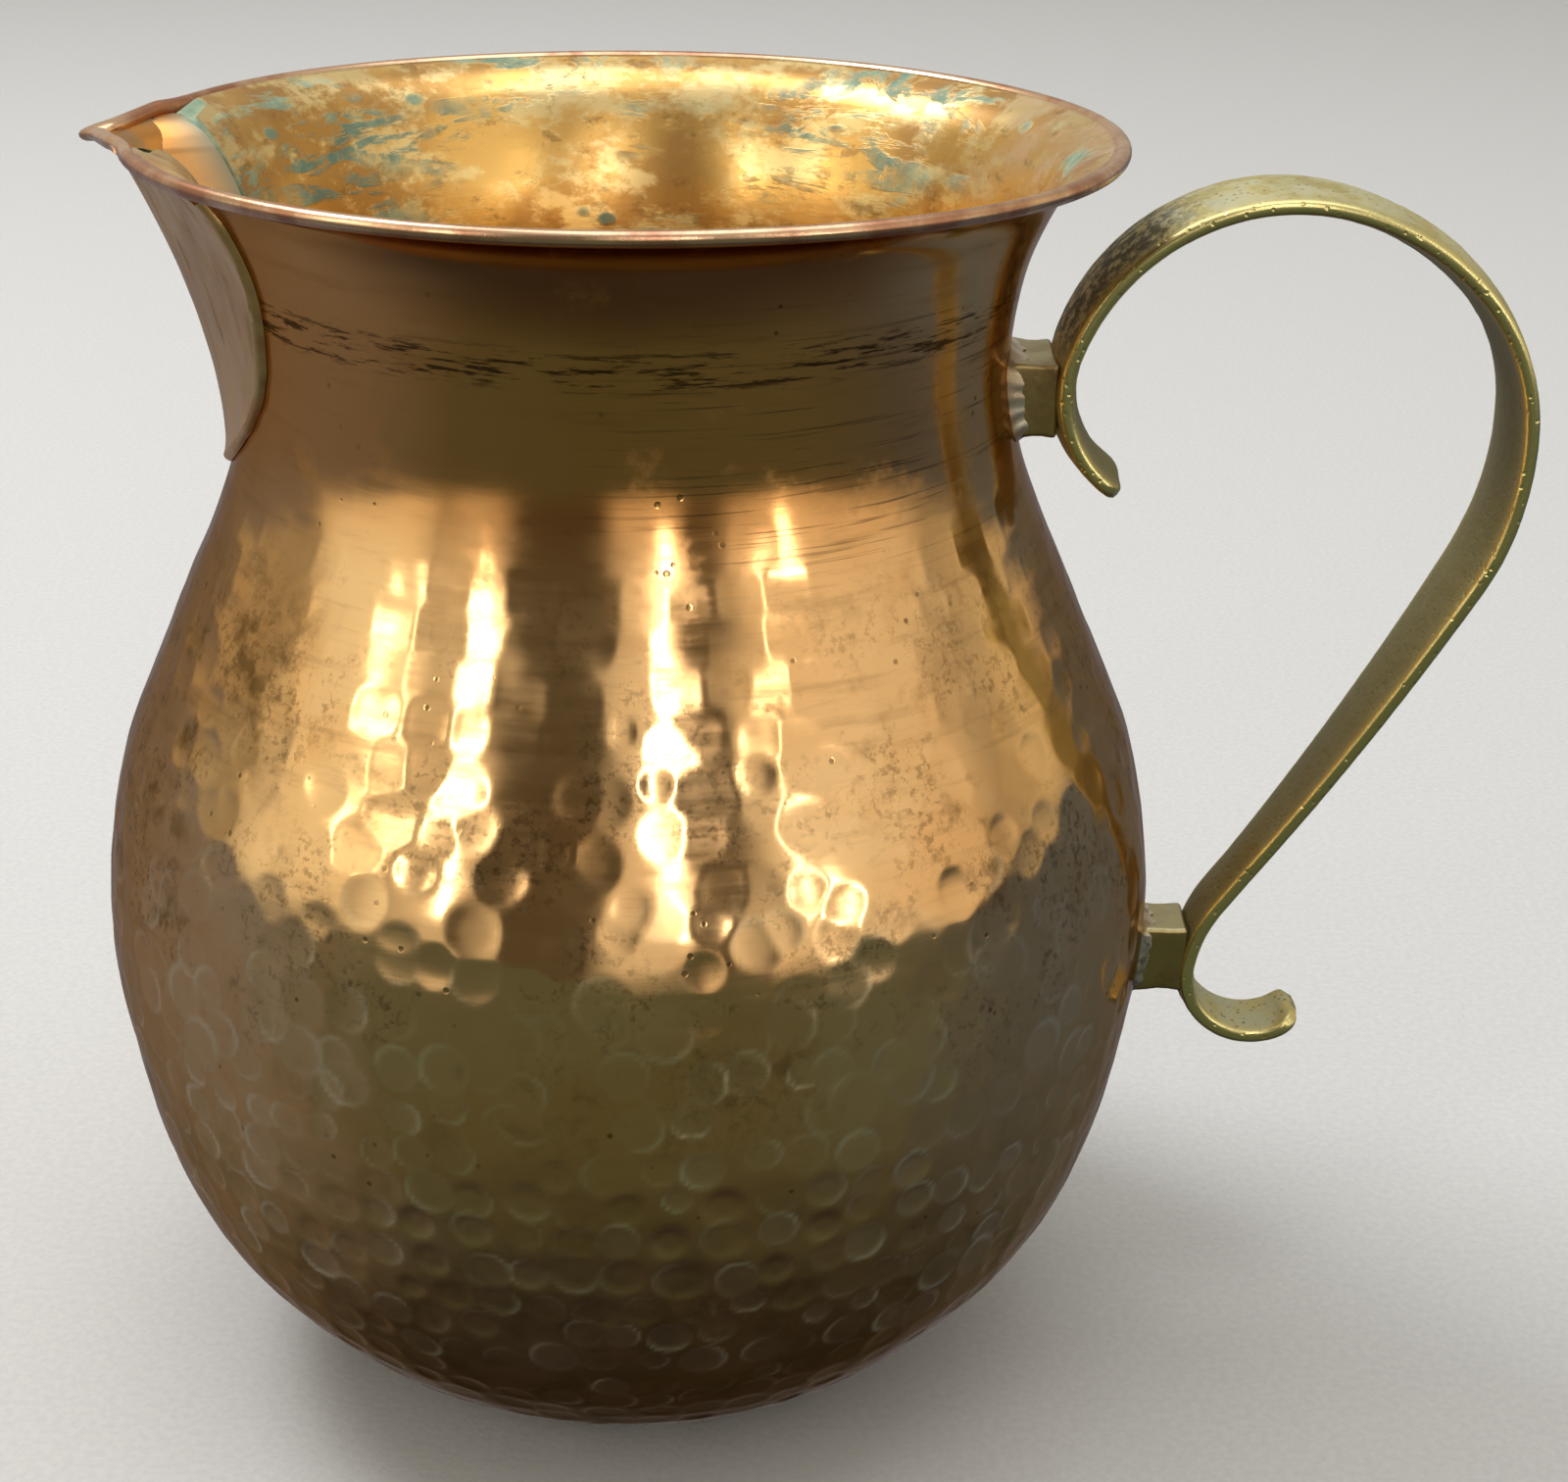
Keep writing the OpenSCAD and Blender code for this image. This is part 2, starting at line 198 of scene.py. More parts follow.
def hammer_field(s, radius, distance, height, columns):
    """How deep each point is hammered and how bright the rims of its marks are painted, partly as
    wear and partly as a painted highlight, in rows and columns.
    """
    rng = np.random.default_rng(s.seed)
    depth = np.zeros((len(radius), columns))
    tone = np.zeros((len(radius), columns))
    theta = np.arange(columns) / columns * 2 * math.pi
    at = 9 * MM
    while at < distance[-1]:
        z = float(np.interp(at, distance, height))
        r = float(np.interp(at, distance, radius))
        if z > s.hammered_top:
            break
        # The marks are flat discs low down, round bowls above them and squarish at the top.
        low = 1 - float(ramp(z, 0.052, 0.068))
        top = float(ramp(z, 0.094, 0.106))
        fade = 1 - float(ramp(z, s.hammered_top - 0.012, s.hammered_top))
        pitch = s.mark_pitch * (1.0 - 0.12 * (1 - low) + 0.06 * top)
        count = max(8, int(round(2 * math.pi * r / pitch)))
        phase = rng.random()
        for k in range(count):
            jitter = 0.10 + 0.16 * (1 - low) * (1 - 0.8 * top)
            a = (k + phase + rng.normal(0, jitter)) / count * 2 * math.pi
            d = at + rng.normal(0, jitter) * s.ring_pitch
            size = (2.70 + 0.35 * (1 - low) + 0.25 * top) * MM * (1 + 0.13 * rng.normal())
            deep = s.mark_depth * (0.80 + 0.12 * (1 - low) - 0.35 * top)
            deep *= max(0.2, 1 + 0.40 * rng.normal())
            if rng.random() < 0.04 * (1 - low):
                continue
            deep *= fade
            rows = np.nonzero(np.abs(distance - d) < size)[0]
            if not len(rows):
                continue
            turn = (theta - a + math.pi) % (2 * math.pi) - math.pi
            cols = np.nonzero(np.abs(turn) * r < size * 1.2)[0]
            dx = turn[cols][None, :] * radius[rows][:, None] / (1.0 + 0.06 * rng.normal())
            dy = (distance[rows] - d)[:, None]
            power = 2.0 + 1.4 * top
            u = (np.abs(dx / size) ** power + np.abs(dy / size) ** power) ** (1 / power)
            disc = 1 - ramp(u, 0.50, 1.0)
            bowl = np.clip(1 - u ** 2, 0, None)
            mark = deep * (low * (0.75 * disc + 0.25 * bowl)
                           + (1 - low) * (0.15 * disc + 0.85 * bowl))
            block = depth[np.ix_(rows, cols)]
            depth[np.ix_(rows, cols)] = np.maximum(block, mark)
            # The edge of each mark is painted bright, partly as rubbed wear and partly as a painted
            # highlight, most of all on one side.
            edge = np.exp(-((u - 0.86) / 0.13) ** 2)
            way = rng.uniform(0, 2 * math.pi)
            wear_and_glint = 0.35 + 0.65 * np.clip((dx * math.cos(way) + dy * math.sin(way)) / size, 0, 1)
            shine = rng.uniform(0.25, 1.0) * fade
            block = tone[np.ix_(rows, cols)]
            tone[np.ix_(rows, cols)] = np.maximum(
                block, shine * (edge * wear_and_glint + 0.30 * (1 - ramp(u, 0.6, 0.9))))
        at += s.ring_pitch * (1.0 + 0.04 * rng.normal())
    return depth, tone


def wave_field(seed, rows_mm, columns, count=26, shortest=9.0, longest=34.0):
    """Slow dents in the sheet: a sum of waves, from 0 to about 1."""
    rng = np.random.default_rng(seed)
    theta = np.arange(columns) / columns * 2 * math.pi
    total = np.zeros((len(rows_mm), columns))
    for _ in range(count):
        length = rng.uniform(shortest, longest)
        around = int(rng.integers(2, max(3, int(400 / length))))
        up = 2 * math.pi / rng.uniform(shortest, longest)
        total += np.cos(around * theta[None, :] + rng.uniform(0, 6.28)
                        + up * rows_mm[:, None]) / count ** 0.5
    return 0.5 + 0.25 * np.clip(total, -2, 2)


def mesh_object(name, points, faces, materials, replaces=(), parts=None, attributes=()):
    """A mesh piece that rides on the jug."""
    mesh = bpy.data.meshes.new(name)
    mesh.from_pydata([tuple(p) for p in np.asarray(points, float)], [], faces)
    mesh.update()
    for m in materials:
        mesh.materials.append(m)
    if parts is not None:
        mesh.polygons.foreach_set("material_index", np.asarray(parts, np.int32))
    for key, values in attributes:
        made = mesh.attributes.new(key, "FLOAT", "POINT")
        made.data.foreach_set("value", np.asarray(values, np.float32))
    work = bmesh.new()
    work.from_mesh(mesh)
    bmesh.ops.recalc_face_normals(work, faces=work.faces)
    work.to_mesh(mesh)
    work.free()
    mesh.polygons.foreach_set("use_smooth", [True] * len(mesh.polygons))
    mesh.set_sharp_from_angle(angle=math.radians(SHARP_ANGLE))
    mesh.update()
    piece = bpy.data.objects.new(name, mesh)
    bpy.context.scene.collection.objects.link(piece)
    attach(piece, "root")
    if replaces:
        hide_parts(*replaces)
    return piece


def skin(rings, caps=True):
    """Faces joining closed rings of the same number of points."""
    n, m = len(rings), len(rings[0])
    points = np.array(rings, float).reshape(-1, 3)
    faces = []
    for k in range(n - 1):
        for j in range(m):
            a, b = k * m + j, k * m + (j + 1) % m
            faces.append((a, b, b + m, a + m))
    if caps:
        faces.append(tuple(range(m - 1, -1, -1)))
        faces.append(tuple(range((n - 1) * m, n * m)))
    return points, faces


# ---------------------------------------------------------------- finishes

class Nodes:
    """A short way to write a material's nodes."""

    def __init__(self, name):
        self.material = bpy.data.materials.new(name)
        self.material.use_nodes = True
        self.tree = self.material.node_tree
        self.shader = self.tree.nodes["Principled BSDF"]
        self.count = 0

    def add(self, kind, **settings):
        node = self.tree.nodes.new(kind)
        node.location = (-1900 + 190 * (self.count // 5), 600 - 260 * (self.count % 5))
        self.count += 1
        for key, value in settings.items():
            setattr(node, key, value)
        return node

    def join(self, a, b):
        self.tree.links.new(a, b)

    def value(self, socket, v):
        if isinstance(v, bpy.types.NodeSocket):
            self.join(v, socket)
        else:
            socket.default_value = v

    def math(self, operation, a, b):
        node = self.add("ShaderNodeMath", operation=operation)
        self.value(node.inputs[0], a)
        self.value(node.inputs[1], b)
        return node.outputs[0]

    def chain(self, operation, values):
        result = values[0]
        for value in values[1:]:
            result = self.math(operation, result, value)
        return result

    def times(self, *values):
        return self.chain("MULTIPLY", values)

    def plus(self, *values):
        return self.chain("ADD", values)

    def larger(self, *values):
        return self.chain("MAXIMUM", values)

    def place(self):
        return self.add("ShaderNodeTexCoord").outputs["Object"]

    def parts(self, vector):
        node = self.add("ShaderNodeSeparateXYZ")
        self.join(vector, node.inputs[0])
        return node.outputs

    def combine(self, x, y, z):
        node = self.add("ShaderNodeCombineXYZ")
        for socket, v in zip(node.inputs, (x, y, z)):
            self.value(socket, v)
        return node.outputs[0]

    def stretch(self, vector, scale, shift=(0, 0, 0)):
        node = self.add("ShaderNodeMapping")
        self.join(vector, node.inputs["Vector"])
        node.inputs["Scale"].default_value = scale
        node.inputs["Location"].default_value = shift
        return node.outputs[0]

    def noise(self, vector, scale, detail=4.0, rough=0.55, warp=0.0):
        node = self.add("ShaderNodeTexNoise")
        self.join(vector, node.inputs["Vector"])
        node.inputs["Scale"].default_value = scale
        node.inputs["Detail"].default_value = detail
        node.inputs["Roughness"].default_value = rough
        node.inputs["Distortion"].default_value = warp
        return node.outputs["Fac"]

    def cells(self, vector, scale, feature="F1"):
        node = self.add("ShaderNodeTexVoronoi", feature=feature)
        self.join(vector, node.inputs["Vector"])
        node.inputs["Scale"].default_value = scale
        return node.outputs["Distance"]

    def range(self, v, low, high, out_low=0.0, out_high=1.0):
        node = self.add("ShaderNodeMapRange", interpolation_type="SMOOTHSTEP")
        self.value(node.inputs["Value"], v)
        node.inputs["From Min"].default_value = low
        node.inputs["From Max"].default_value = high
        node.inputs["To Min"].default_value = out_low
        node.inputs["To Max"].default_value = out_high
        return node.outputs["Result"]

    def mix(self, factor, a, b, blend="MIX"):
        node = self.add("ShaderNodeMix", data_type="RGBA", blend_type=blend)
        self.value(node.inputs[0], factor)
        for socket, v in ((node.inputs[6], a), (node.inputs[7], b)):
            if isinstance(v, bpy.types.NodeSocket):
                self.join(v, socket)
            else:
                socket.default_value = (v[0], v[1], v[2], 1.0)
        return node.outputs[2]

    def attribute(self, name):
        return self.add("ShaderNodeAttribute", attribute_name=name).outputs["Fac"]

    def bump(self, height, strength, distance, after=None):
        node = self.add("ShaderNodeBump")
        node.inputs["Strength"].default_value = strength
        node.inputs["Distance"].default_value = distance
        self.join(height, node.inputs["Height"])
        if after is not None:
            self.join(after, node.inputs["Normal"])
        return node.outputs["Normal"]

    def finish(self, color, rough, metal=1.0, normal=None):
        self.value(self.shader.inputs["Metallic"], metal)
        self.value(self.shader.inputs["Roughness"], rough)
        if isinstance(color, bpy.types.NodeSocket):
            self.join(color, self.shader.inputs["Base Color"])
        else:
            self.shader.inputs["Base Color"].default_value = (*color, 1.0)
        if normal is not None:
            self.join(normal, self.shader.inputs["Normal"])
        return self.material

    def around(self):
        """Coordinates around the jug: turn in radians, from the handle, and height in metres."""
        x, y, z = self.parts(self.place())
        return self.math("ARCTAN2", self.times(y, -1.0), x), z


def copper_outside(f):
    """Hammered copper with brown tarnish, a dark scratched ring, marks whose rims are painted bright
    (partly wear, partly a painted highlight) and painted shade at the foot.
    """
    n = Nodes("hammered_copper")
    turn, z = n.around()
    place = n.place()
    wrap = n.combine(n.times(turn, 0.055), z, 0.0)
    brushed = n.stretch(wrap, (0.10, 1.0, 1.0))
    grain = n.noise(brushed, 2600.0, 3.0, 0.6)
    streak = n.noise(brushed, 420.0, 5.0, 0.65)
    cloud = n.noise(place, 26.0, 4.0, 0.55, 0.4)
    fine = n.noise(place, 150.0, 6.0, 0.65)
    color = n.mix(n.range(cloud, 0.38, 0.62), f.copper, f.copper_warm)
    brushed_part = n.range(z, 0.070, 0.100, 0.06, 0.30)
    color = n.mix(n.times(n.range(streak, 0.50, 0.72), brushed_part), color, f.tarnish)
    # Brown tarnish gathers in patches between the belly and the shoulder.
    patch = n.times(n.range(fine, 0.50, 0.66), n.range(cloud, 0.42, 0.60))
    band = n.times(n.range(z, 0.052, 0.075), n.range(z, 0.122, 0.100))
    color = n.mix(n.times(patch, band, 0.80), color, f.tarnish)
    dust = n.times(n.range(n.noise(place, 900.0, 5.0, 0.7), 0.50, 0.62),
                   n.range(n.noise(place, 70.0, 4.0, 0.6), 0.46, 0.60), band)
    color = n.mix(n.times(dust, 0.55), color, f.tarnish)
    across = n.parts(place)[0]
    throat = n.times(n.range(z, 0.114, 0.126), n.range(across, 0.040, 0.022))
    color = n.mix(n.times(throat, 0.60), color, (0.62, 0.27, 0.07))
    # Small dark pits.
    pits = n.range(n.cells(place, 330.0), 0.14, 0.07)
    some = n.range(n.noise(place, 60.0, 3.0), 0.50, 0.62)
    pits = n.times(pits, some)
    color = n.mix(n.times(pits, 0.8), color, f.tarnish)
    # A dark ring of scratches runs around the neck.
    ring_z = n.plus(z, n.times(n.noise(brushed, 60.0, 2.0), 0.0045))
    ring = n.times(n.range(ring_z, 0.1385, 0.1405), n.range(ring_z, 0.1450, 0.1425))
    lines = n.range(n.noise(n.stretch(wrap, (0.16, 1.7, 1.0)), 700.0, 4.0, 0.7), 0.50, 0.60)
    scratch = n.times(ring, lines)
    color = n.mix(n.times(scratch, 0.85), color, (0.045, 0.025, 0.015))
    fine_lines = n.range(n.noise(n.stretch(wrap, (0.035, 2.2, 1.0)), 800.0, 3.0, 0.7), 0.57, 0.64)
    neck = n.times(n.range(z, 0.112, 0.122), n.range(z, 0.150, 0.135))
    right = n.range(turn, 1.8, 1.2)
    fine_lines = n.times(fine_lines, neck, right)
    color = n.mix(n.times(fine_lines, 0.55), color, (0.06, 0.035, 0.02))
    # Darker and more olive towards the bottom; at the foot the darkening is painted shade standing
    # in for the contact shadow on the table, and the marks' rims low down are painted bright.
    low = n.range(n.plus(z, n.times(cloud, 0.02)), 0.085, 0.040)
    mottle = n.range(n.noise(place, 130.0, 6.0, 0.68), 0.36, 0.64, 0.38, 0.80)
    color = n.mix(n.times(low, mottle), color, (0.36, 0.25, 0.10))
    # Painted shade: the foot is darkened where the table's contact shadow would fall.
    foot = n.range(n.plus(z, n.times(cloud, 0.01)), 0.034, 0.008)
    color = n.mix(n.times(foot, 0.75), color, (0.12, 0.065, 0.03))
    # Painted highlight: the rims of the marks are painted bright, partly as wear and partly where
    # they would catch the light.
    wear_and_glint = n.attribute("wear_and_glint")
    below = n.range(z, 0.100, 0.050)
    rim_wear_and_glint = n.times(n.range(wear_and_glint, 0.05, 0.85), below)
    color = n.mix(n.times(rim_wear_and_glint, 0.90), color, (1.0, 0.84, 0.58))
    rough = n.plus(n.range(streak, 0.3, 0.7, 0.09, 0.17), n.times(patch, 0.16),
                   n.times(low, 0.05), n.times(rim_wear_and_glint, 0.20))
    normal = n.bump(grain, 0.02, 0.0001)
    normal = n.bump(streak, 0.03, 0.0001, normal)
    normal = n.bump(pits, 0.20, -0.0001, normal)
    n.shader.inputs["Specular Tint"].default_value = (0.72, 0.56, 0.42, 1.0)
    return n.finish(color, rough, 1.0, normal)


def copper_inside(f):
    """Golden copper with streaks and spots of verdigris."""
    n = Nodes("patinated_copper")
    turn, z = n.around()
    place = n.place()
    wrap = n.combine(n.times(turn, 0.05), z, 0.0)
    cloud = n.noise(place, 40.0, 5.0, 0.6, 0.3)
    color = n.mix(n.range(cloud, 0.42, 0.58), (0.84, 0.52, 0.17), (0.58, 0.33, 0.11))
    gold = n.noise(n.stretch(place, (1, 1, 1.6)), 110.0, 7.0, 0.68)
    color = n.mix(n.range(gold, 0.48, 0.60), color, (0.92, 0.70, 0.34))
    brown = n.noise(n.stretch(place, (1, 1, 1.8), (0.2, 0, 0)), 210.0, 6.0, 0.7)
    color = n.mix(n.range(brown, 0.55, 0.66, 0.0, 0.6), color, (0.34, 0.19, 0.07))
    # Streaks of verdigris run around the mouth, and small ragged spots lie below them.
    warped = n.add("ShaderNodeVectorMath", operation="MULTIPLY_ADD")
    n.join(n.add("ShaderNodeTexNoise").outputs["Color"], warped.inputs[0])
    warped.inputs[1].default_value = (0.004, 0.004, 0.004)
    n.join(place, warped.inputs[2])
    ragged = warped.outputs[0]
    streak = n.noise(n.stretch(wrap, (0.22, 1.0, 1.0), (0.3, 0.1, 0.0)), 330.0, 7.0, 0.68, 0.6)
    patch = n.noise(place, 42.0, 4.0, 0.6)
    fine = n.noise(place, 420.0, 6.0, 0.7)
    green = n.times(n.range(streak, 0.49, 0.57), n.range(patch, 0.46, 0.60))
    rim = n.range(z, 0.122, 0.148, 0.25, 1.0)
    green = n.times(green, rim, n.range(fine, 0.30, 0.52))
    spots = n.times(n.range(n.cells(n.stretch(ragged, (1, 1, 1.5)), 170.0), 0.30, 0.12),
                   n.range(n.noise(place, 52.0, 2.0), 0.54, 0.62))
    spots = n.times(spots, n.range(fine, 0.28, 0.50))
    deep = n.times(n.range(z, 0.140, 0.105),
                   n.range(n.noise(place, 120.0, 6.0, 0.7), 0.44, 0.62))
    color = n.mix(n.times(deep, 0.60), color, (0.30, 0.32, 0.14))
    crack = n.attribute("crevice")
    green = n.larger(green, n.times(spots, 0.95))
    green = n.larger(green, n.times(crack, n.range(fine, 0.2, 0.5)))
    tint = n.mix(n.range(n.noise(place, 300.0, 4.0), 0.35, 0.65), f.verdigris, (0.26, 0.44, 0.34))
    color = n.mix(n.times(green, 0.85), color, tint)
    pale = n.times(n.range(turn, 1.1, 0.2), n.range(z, 0.138, 0.152))
    pale = n.times(pale, n.range(turn, -1.0, -0.4))
    pale = n.times(pale, n.range(n.noise(place, 110.0, 5.0, 0.65), 0.40, 0.62))
    color = n.mix(n.times(pale, 0.55), color, (0.50, 0.36, 0.28))
    metal = n.range(n.larger(green, n.times(pale, 0.6)), 0.0, 1.0, 1.0, 0.25)
    rough = n.plus(n.range(cloud, 0.3, 0.7, 0.24, 0.36), n.times(green, 0.30))
    lines = n.noise(n.stretch(wrap, (0.08, 1.0, 1.0)), 1500.0, 3.0, 0.6)
    normal = n.bump(lines, 0.10, 0.0002)
    normal = n.bump(green, 0.30, 0.0002, normal)
    return n.finish(color, rough, metal, normal)


def copper_rim(f):
    """The rolled edge, worn pinkish."""
    n = Nodes("worn_rim_copper")
    place = n.place()
    wear = n.noise(place, 120.0, 5.0, 0.6)
    color = n.mix(n.range(wear, 0.40, 0.65), f.rim, (0.50, 0.24, 0.15))
    rough = n.range(wear, 0.3, 0.7, 0.18, 0.34)
    normal = n.bump(n.noise(place, 700.0, 4.0, 0.6), 0.12, 0.0002)
    return n.finish(color, rough, 1.0, normal)


def copper_spout(f):
    """The spout's outside, brushed up and down, with dark spots."""
    n = Nodes("brushed_spout_copper")
    place = n.place()
    z = n.parts(place)[2]
    brushed = n.stretch(place, (1.0, 1.0, 0.10))
    streak = n.noise(brushed, 420.0, 5.0, 0.6)
    cloud = n.noise(place, 60.0, 4.0, 0.55)
    color = n.mix(n.range(cloud, 0.40, 0.62), (0.90, 0.56, 0.24), (0.74, 0.43, 0.17))
    color = n.mix(n.range(streak, 0.52, 0.72, 0.0, 0.5), color, f.tarnish)
    spots = n.times(n.range(n.cells(place, 150.0), 0.20, 0.10),
                   n.range(n.noise(place, 90.0, 3.0), 0.46, 0.58))
    color = n.mix(n.times(spots, 0.85), color, (0.06, 0.03, 0.02))
    lip = n.range(z, 0.1525, 0.1548)
    color = n.mix(n.times(lip, 0.6), color, f.rim)
    rough = n.range(streak, 0.3, 0.7, 0.26, 0.42)
    normal = n.bump(streak, 0.12, 0.0002)
    return n.finish(color, rough, 1.0, normal)


def copper_spout_inside():
    """The spout's inside, with patina in its corners."""
    n = Nodes("polished_spout_copper")
    place = n.place()
    cloud = n.noise(place, 70.0, 4.0, 0.55)
    color = n.mix(n.range(cloud, 0.40, 0.62), (0.86, 0.42, 0.12), (0.74, 0.33, 0.10))
    crack = n.attribute("crevice")
    bloom = n.times(n.range(n.noise(place, 160.0, 4.0, 0.6), 0.45, 0.6),
                   n.range(n.parts(place)[2], 0.1475, 0.1535))
    patina = n.larger(crack, n.times(bloom, 0.55))
    color = n.mix(patina, color, (0.34, 0.33, 0.25))
    rough = n.plus(n.range(cloud, 0.3, 0.7, 0.22, 0.30), n.times(patina, 0.25))
    normal = n.bump(n.noise(place, 500.0, 4.0, 0.6), 0.08, 0.0002)
    return n.finish(color, rough, 1.0, normal)


def brass_strap(f):
    """Cast brass: rough faces with a grey bloom, polished edges, small pits, and painted shade on
    the inner faces.
    """
    n = Nodes("cast_brass")
    place = n.place()
    edge = n.attribute("edge")
    face = n.attribute("scale")
    grain = n.noise(place, 520.0, 6.0, 0.7)
    grain = n.times(grain, n.math("SUBTRACT", 1.0, n.times(edge, 0.92)))
    cloud = n.noise(place, 55.0, 4.0, 0.6)
    pores = n.range(n.cells(place, 900.0), 0.30, 0.10)
    inner, pitted = n.attribute("inner"), n.attribute("pitted")
    color = n.mix(n.range(cloud, 0.38, 0.62), f.brass_dull, (0.62, 0.54, 0.24))
    bloom = n.times(n.range(n.noise(place, 170.0, 6.0, 0.7), 0.38, 0.60), face)
    color = n.mix(n.times(bloom, 0.80), color, f.oxide)
    color = n.mix(n.times(pores, face, 0.6), color, (0.07, 0.06, 0.035))
    # Painted shade: the strap's inner faces, towards the jug, are painted darker.
    color = n.mix(n.times(inner, 0.72), color, (0.17, 0.155, 0.075))
    speck = n.times(pitted, n.range(n.noise(place, 640.0, 5.0, 0.7), 0.42, 0.55))
    color = n.mix(n.times(speck, 0.85), color, (0.055, 0.05, 0.04))
    polish = n.times(edge, 0.85)
    color = n.mix(polish, color, f.brass)
    metal = n.range(n.times(bloom, n.math("SUBTRACT", 1.0, edge)), 0.0, 1.0, 1.0, 0.45)
    rough = n.range(polish, 0.0, 1.0, 0.52, 0.24)
    rough = n.plus(rough, n.times(bloom, 0.14))
    normal = n.bump(grain, 0.50, 0.0004)
    normal = n.bump(pores, 0.30, -0.0003, normal)
    return n.finish(color, rough, metal, normal)


def brass_post():
    """Dull brown brass, with painted light that makes its upward faces paler."""
    n = Nodes("post_brass")
    place = n.place()
    cloud = n.noise(place, 160.0, 5.0, 0.6)
    color = n.mix(n.range(cloud, 0.38, 0.62), (0.40, 0.32, 0.14), (0.26, 0.17, 0.09))
    # Painted light: faces turned upwards are painted paler, as if lit from above.
    top = n.range(n.parts(n.add("ShaderNodeNewGeometry").outputs["Normal"])[2], 0.3, 0.9)
    color = n.mix(n.times(top, 0.7), color, (0.55, 0.52, 0.33))
    rough = n.range(cloud, 0.3, 0.7, 0.32, 0.50)
    normal = n.bump(n.noise(place, 900.0, 5.0, 0.65), 0.25, 0.0002)
    return n.finish(color, rough, 1.0, normal)


def seam_metal():
    """The solder line, rubbed to the copper's colour."""
    n = Nodes("seam_solder")
    place = n.place()
    cloud = n.noise(place, 180.0, 5.0, 0.6)
    color = n.mix(n.range(cloud, 0.35, 0.65), (0.95, 0.66, 0.36), (0.82, 0.50, 0.24))
    rough = n.range(cloud, 0.3, 0.7, 0.26, 0.38)
    normal = n.bump(n.noise(place, 700.0, 4.0, 0.6), 0.15, 0.0002)
    return n.finish(color, rough, 1.0, normal)


def solder_metal(f):
    """Silver solder with dark flux around the posts."""
    n = Nodes("silver_solder")
    place = n.place()
    cloud = n.noise(place, 260.0, 5.0, 0.6)
    color = n.mix(n.range(cloud, 0.38, 0.62), f.solder, (0.60, 0.50, 0.40))
    flux = n.range(n.noise(place, 600.0, 4.0, 0.6), 0.56, 0.66)
    color = n.mix(n.times(flux, 0.6), color, (0.10, 0.085, 0.06))
    rough = n.range(cloud, 0.3, 0.7, 0.30, 0.46)
    normal = n.bump(cloud, 0.25, 0.0004)
    return n.finish(color, rough, 1.0, normal)


# ---------------------------------------------------------------- pieces

def shared(name, build, *values):
    """One finish for every piece that asks for this name."""
    return bpy.data.materials.get(name) or build(*values)


